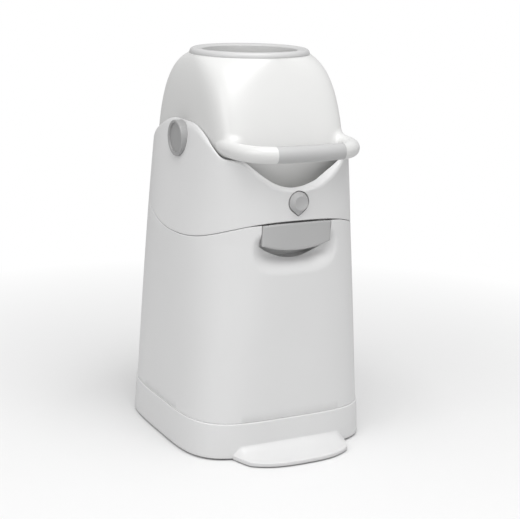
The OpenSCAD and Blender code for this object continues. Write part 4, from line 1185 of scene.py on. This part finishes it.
@dataclass
class Studio:
    """The floor, the soft lights and the camera at the photograph's place."""

    azimuth_deg: float = 26.35
    distance_mm: float = 2089.2
    height_mm: float = 780.9
    yaw_deg: float = 0.61
    pitch_deg: float = -13.79
    roll_deg: float = -1.11
    focal_px: float = 1346.7
    width_px: float = 520.0
    sensor_mm: float = 36.0

    def camera(self) -> None:
        """Places the camera."""
        azimuth = math.radians(self.azimuth_deg)
        heading = azimuth + math.radians(self.yaw_deg)
        pitch, roll = math.radians(self.pitch_deg), math.radians(self.roll_deg)
        place = Vector(
            (-self.distance_mm * math.sin(azimuth), -self.distance_mm * math.cos(azimuth), self.height_mm)
        )
        forward = Vector(
            (math.sin(heading) * math.cos(pitch), math.cos(heading) * math.cos(pitch), math.sin(pitch))
        )
        right = Vector((math.cos(heading), -math.sin(heading), 0.0))
        up = right.cross(forward)
        right, up = right * math.cos(roll) - up * math.sin(roll), up * math.cos(roll) + right * math.sin(roll)
        data = bpy.data.cameras.new("camera")
        data.sensor_width = self.sensor_mm
        data.lens = self.focal_px / self.width_px * self.sensor_mm
        camera = bpy.data.objects.new("camera", data)
        matrix = Matrix((right, up, -forward)).transposed().to_4x4()
        matrix.translation = place * MM
        camera.matrix_world = matrix
        bpy.context.scene.collection.objects.link(camera)
        bpy.context.scene.camera = camera

    def lamp(self, name: str, place: Vec3, target: Vec3, size_m: float, watts: float) -> None:
        """Adds a square soft box that shines from a place to a target, both in metres."""
        data = bpy.data.lights.new(name, "AREA")
        data.shape = "SQUARE"
        data.size = size_m
        data.energy = watts
        lamp = bpy.data.objects.new(name, data)
        lamp.location = place
        lamp.rotation_euler = (Vector(target) - Vector(place)).to_track_quat("-Z", "Y").to_euler()
        bpy.context.scene.collection.objects.link(lamp)

    def floor(self) -> None:
        """Lays a pale floor that fades to plain white for the camera away from the bin."""
        ring = np.array([(-6000.0, -6000.0), (6000.0, -6000.0), (6000.0, 6000.0), (-6000.0, 6000.0)])
        floor = make_object("floor", np.column_stack([ring, np.zeros(4)]), [(0, 1, 2, 3)])
        material = bpy.data.materials.new("studio paper, white")
        material.use_nodes = True
        tree = material.node_tree
        shader = tree.nodes["Principled BSDF"]
        shader.inputs["Roughness"].default_value = 0.9
        path = add_node(tree, "ShaderNodeLightPath")
        paper = add_node(
            tree,
            "ShaderNodeMix",
            {0: path.outputs["Is Camera Ray"], 6: linear("#d4d4d4"), 7: linear("#e8e8e8")},
            data_type="RGBA",
        )
        tree.links.new(paper.outputs[2], shader.inputs["Base Color"])
        place = add_node(tree, "ShaderNodeTexCoord")
        away = add_node(tree, "ShaderNodeVectorMath", {0: place.outputs["Object"]}, operation="LENGTH")
        fade = add_node(
            tree, "ShaderNodeMapRange", {"Value": away.outputs["Value"], "From Min": 0.3, "From Max": 1.1}
        )
        seen = add_node(
            tree,
            "ShaderNodeMath",
            {0: fade.outputs["Result"], 1: path.outputs["Is Camera Ray"]},
            operation="MULTIPLY",
        )
        white = add_node(tree, "ShaderNodeEmission", {"Color": (1, 1, 1, 1), "Strength": 1.0})
        mix = add_node(
            tree, "ShaderNodeMixShader", {0: seen.outputs[0], 1: shader.outputs[0], 2: white.outputs[0]}
        )
        tree.links.new(mix.outputs[0], tree.nodes["Material Output"].inputs["Surface"])
        floor.data.materials.append(material)

    def world(self) -> None:
        """Sets an even pale surround, white where the camera looks past the floor."""
        world = bpy.data.worlds.new("studio")
        bpy.context.scene.world = world
        world.use_nodes = True
        tree = world.node_tree
        path = add_node(tree, "ShaderNodeLightPath")
        level = add_node(
            tree, "ShaderNodeMapRange", {"Value": path.outputs["Is Camera Ray"], "To Min": 0.53, "To Max": 1.0}
        )
        tree.links.new(level.outputs["Result"], tree.nodes["Background"].inputs["Strength"])
        tree.nodes["Background"].inputs["Color"].default_value = (1, 1, 1, 1)

    def build(self) -> None:
        """Sets up the whole studio."""
        self.camera()
        self.floor()
        self.world()
        self.lamp("key", (-2.2, -0.9, 1.7), (0, 0, 0.35), 1.6, 14)
        self.lamp("front", (-0.2, -2.6, 0.45), (0, 0, 0.4), 1.2, 5)
        self.lamp("top", (-0.1, -0.8, 2.3), (0, 0, 0.3), 1.8, 37)
        bpy.context.scene.view_settings.view_transform = "Standard"


def dress_frame(materials: dict[Slot, bpy.types.Material]) -> None:
    """Gives every CAD node its material and smooth shading, kept sharp at edges past 30 degrees.

    Args:
        materials: The built materials.
    """
    slots = {part["node"]: Slot(part["material_slot"]) for part in frame["record"]["subparts"]}
    for name, node in frame["nodes"].items():
        material = materials[slots[name]]
        node.data.materials.clear()
        node.data.materials.append(material)
        shade(node, 30)
    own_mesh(frame["nodes"]["button_spring"])


def main() -> None:
    """Builds the studio and every sub-assembly, and dresses the frame."""
    logging.basicConfig(level=logging.INFO, format="%(message)s")
    materials = {slot: finish.build() for slot, finish in FINISHES.items()}
    Studio().build()
    housing = Housing()
    Base(housing).build(materials)
    BinBody(housing).build(materials)
    Head(housing).build(materials)
    FrontControls(housing).build(materials)
    HubCaps().build(materials)
    Drum().build(materials)
    dress_frame(materials)


if __name__ == "__main__":
    main()
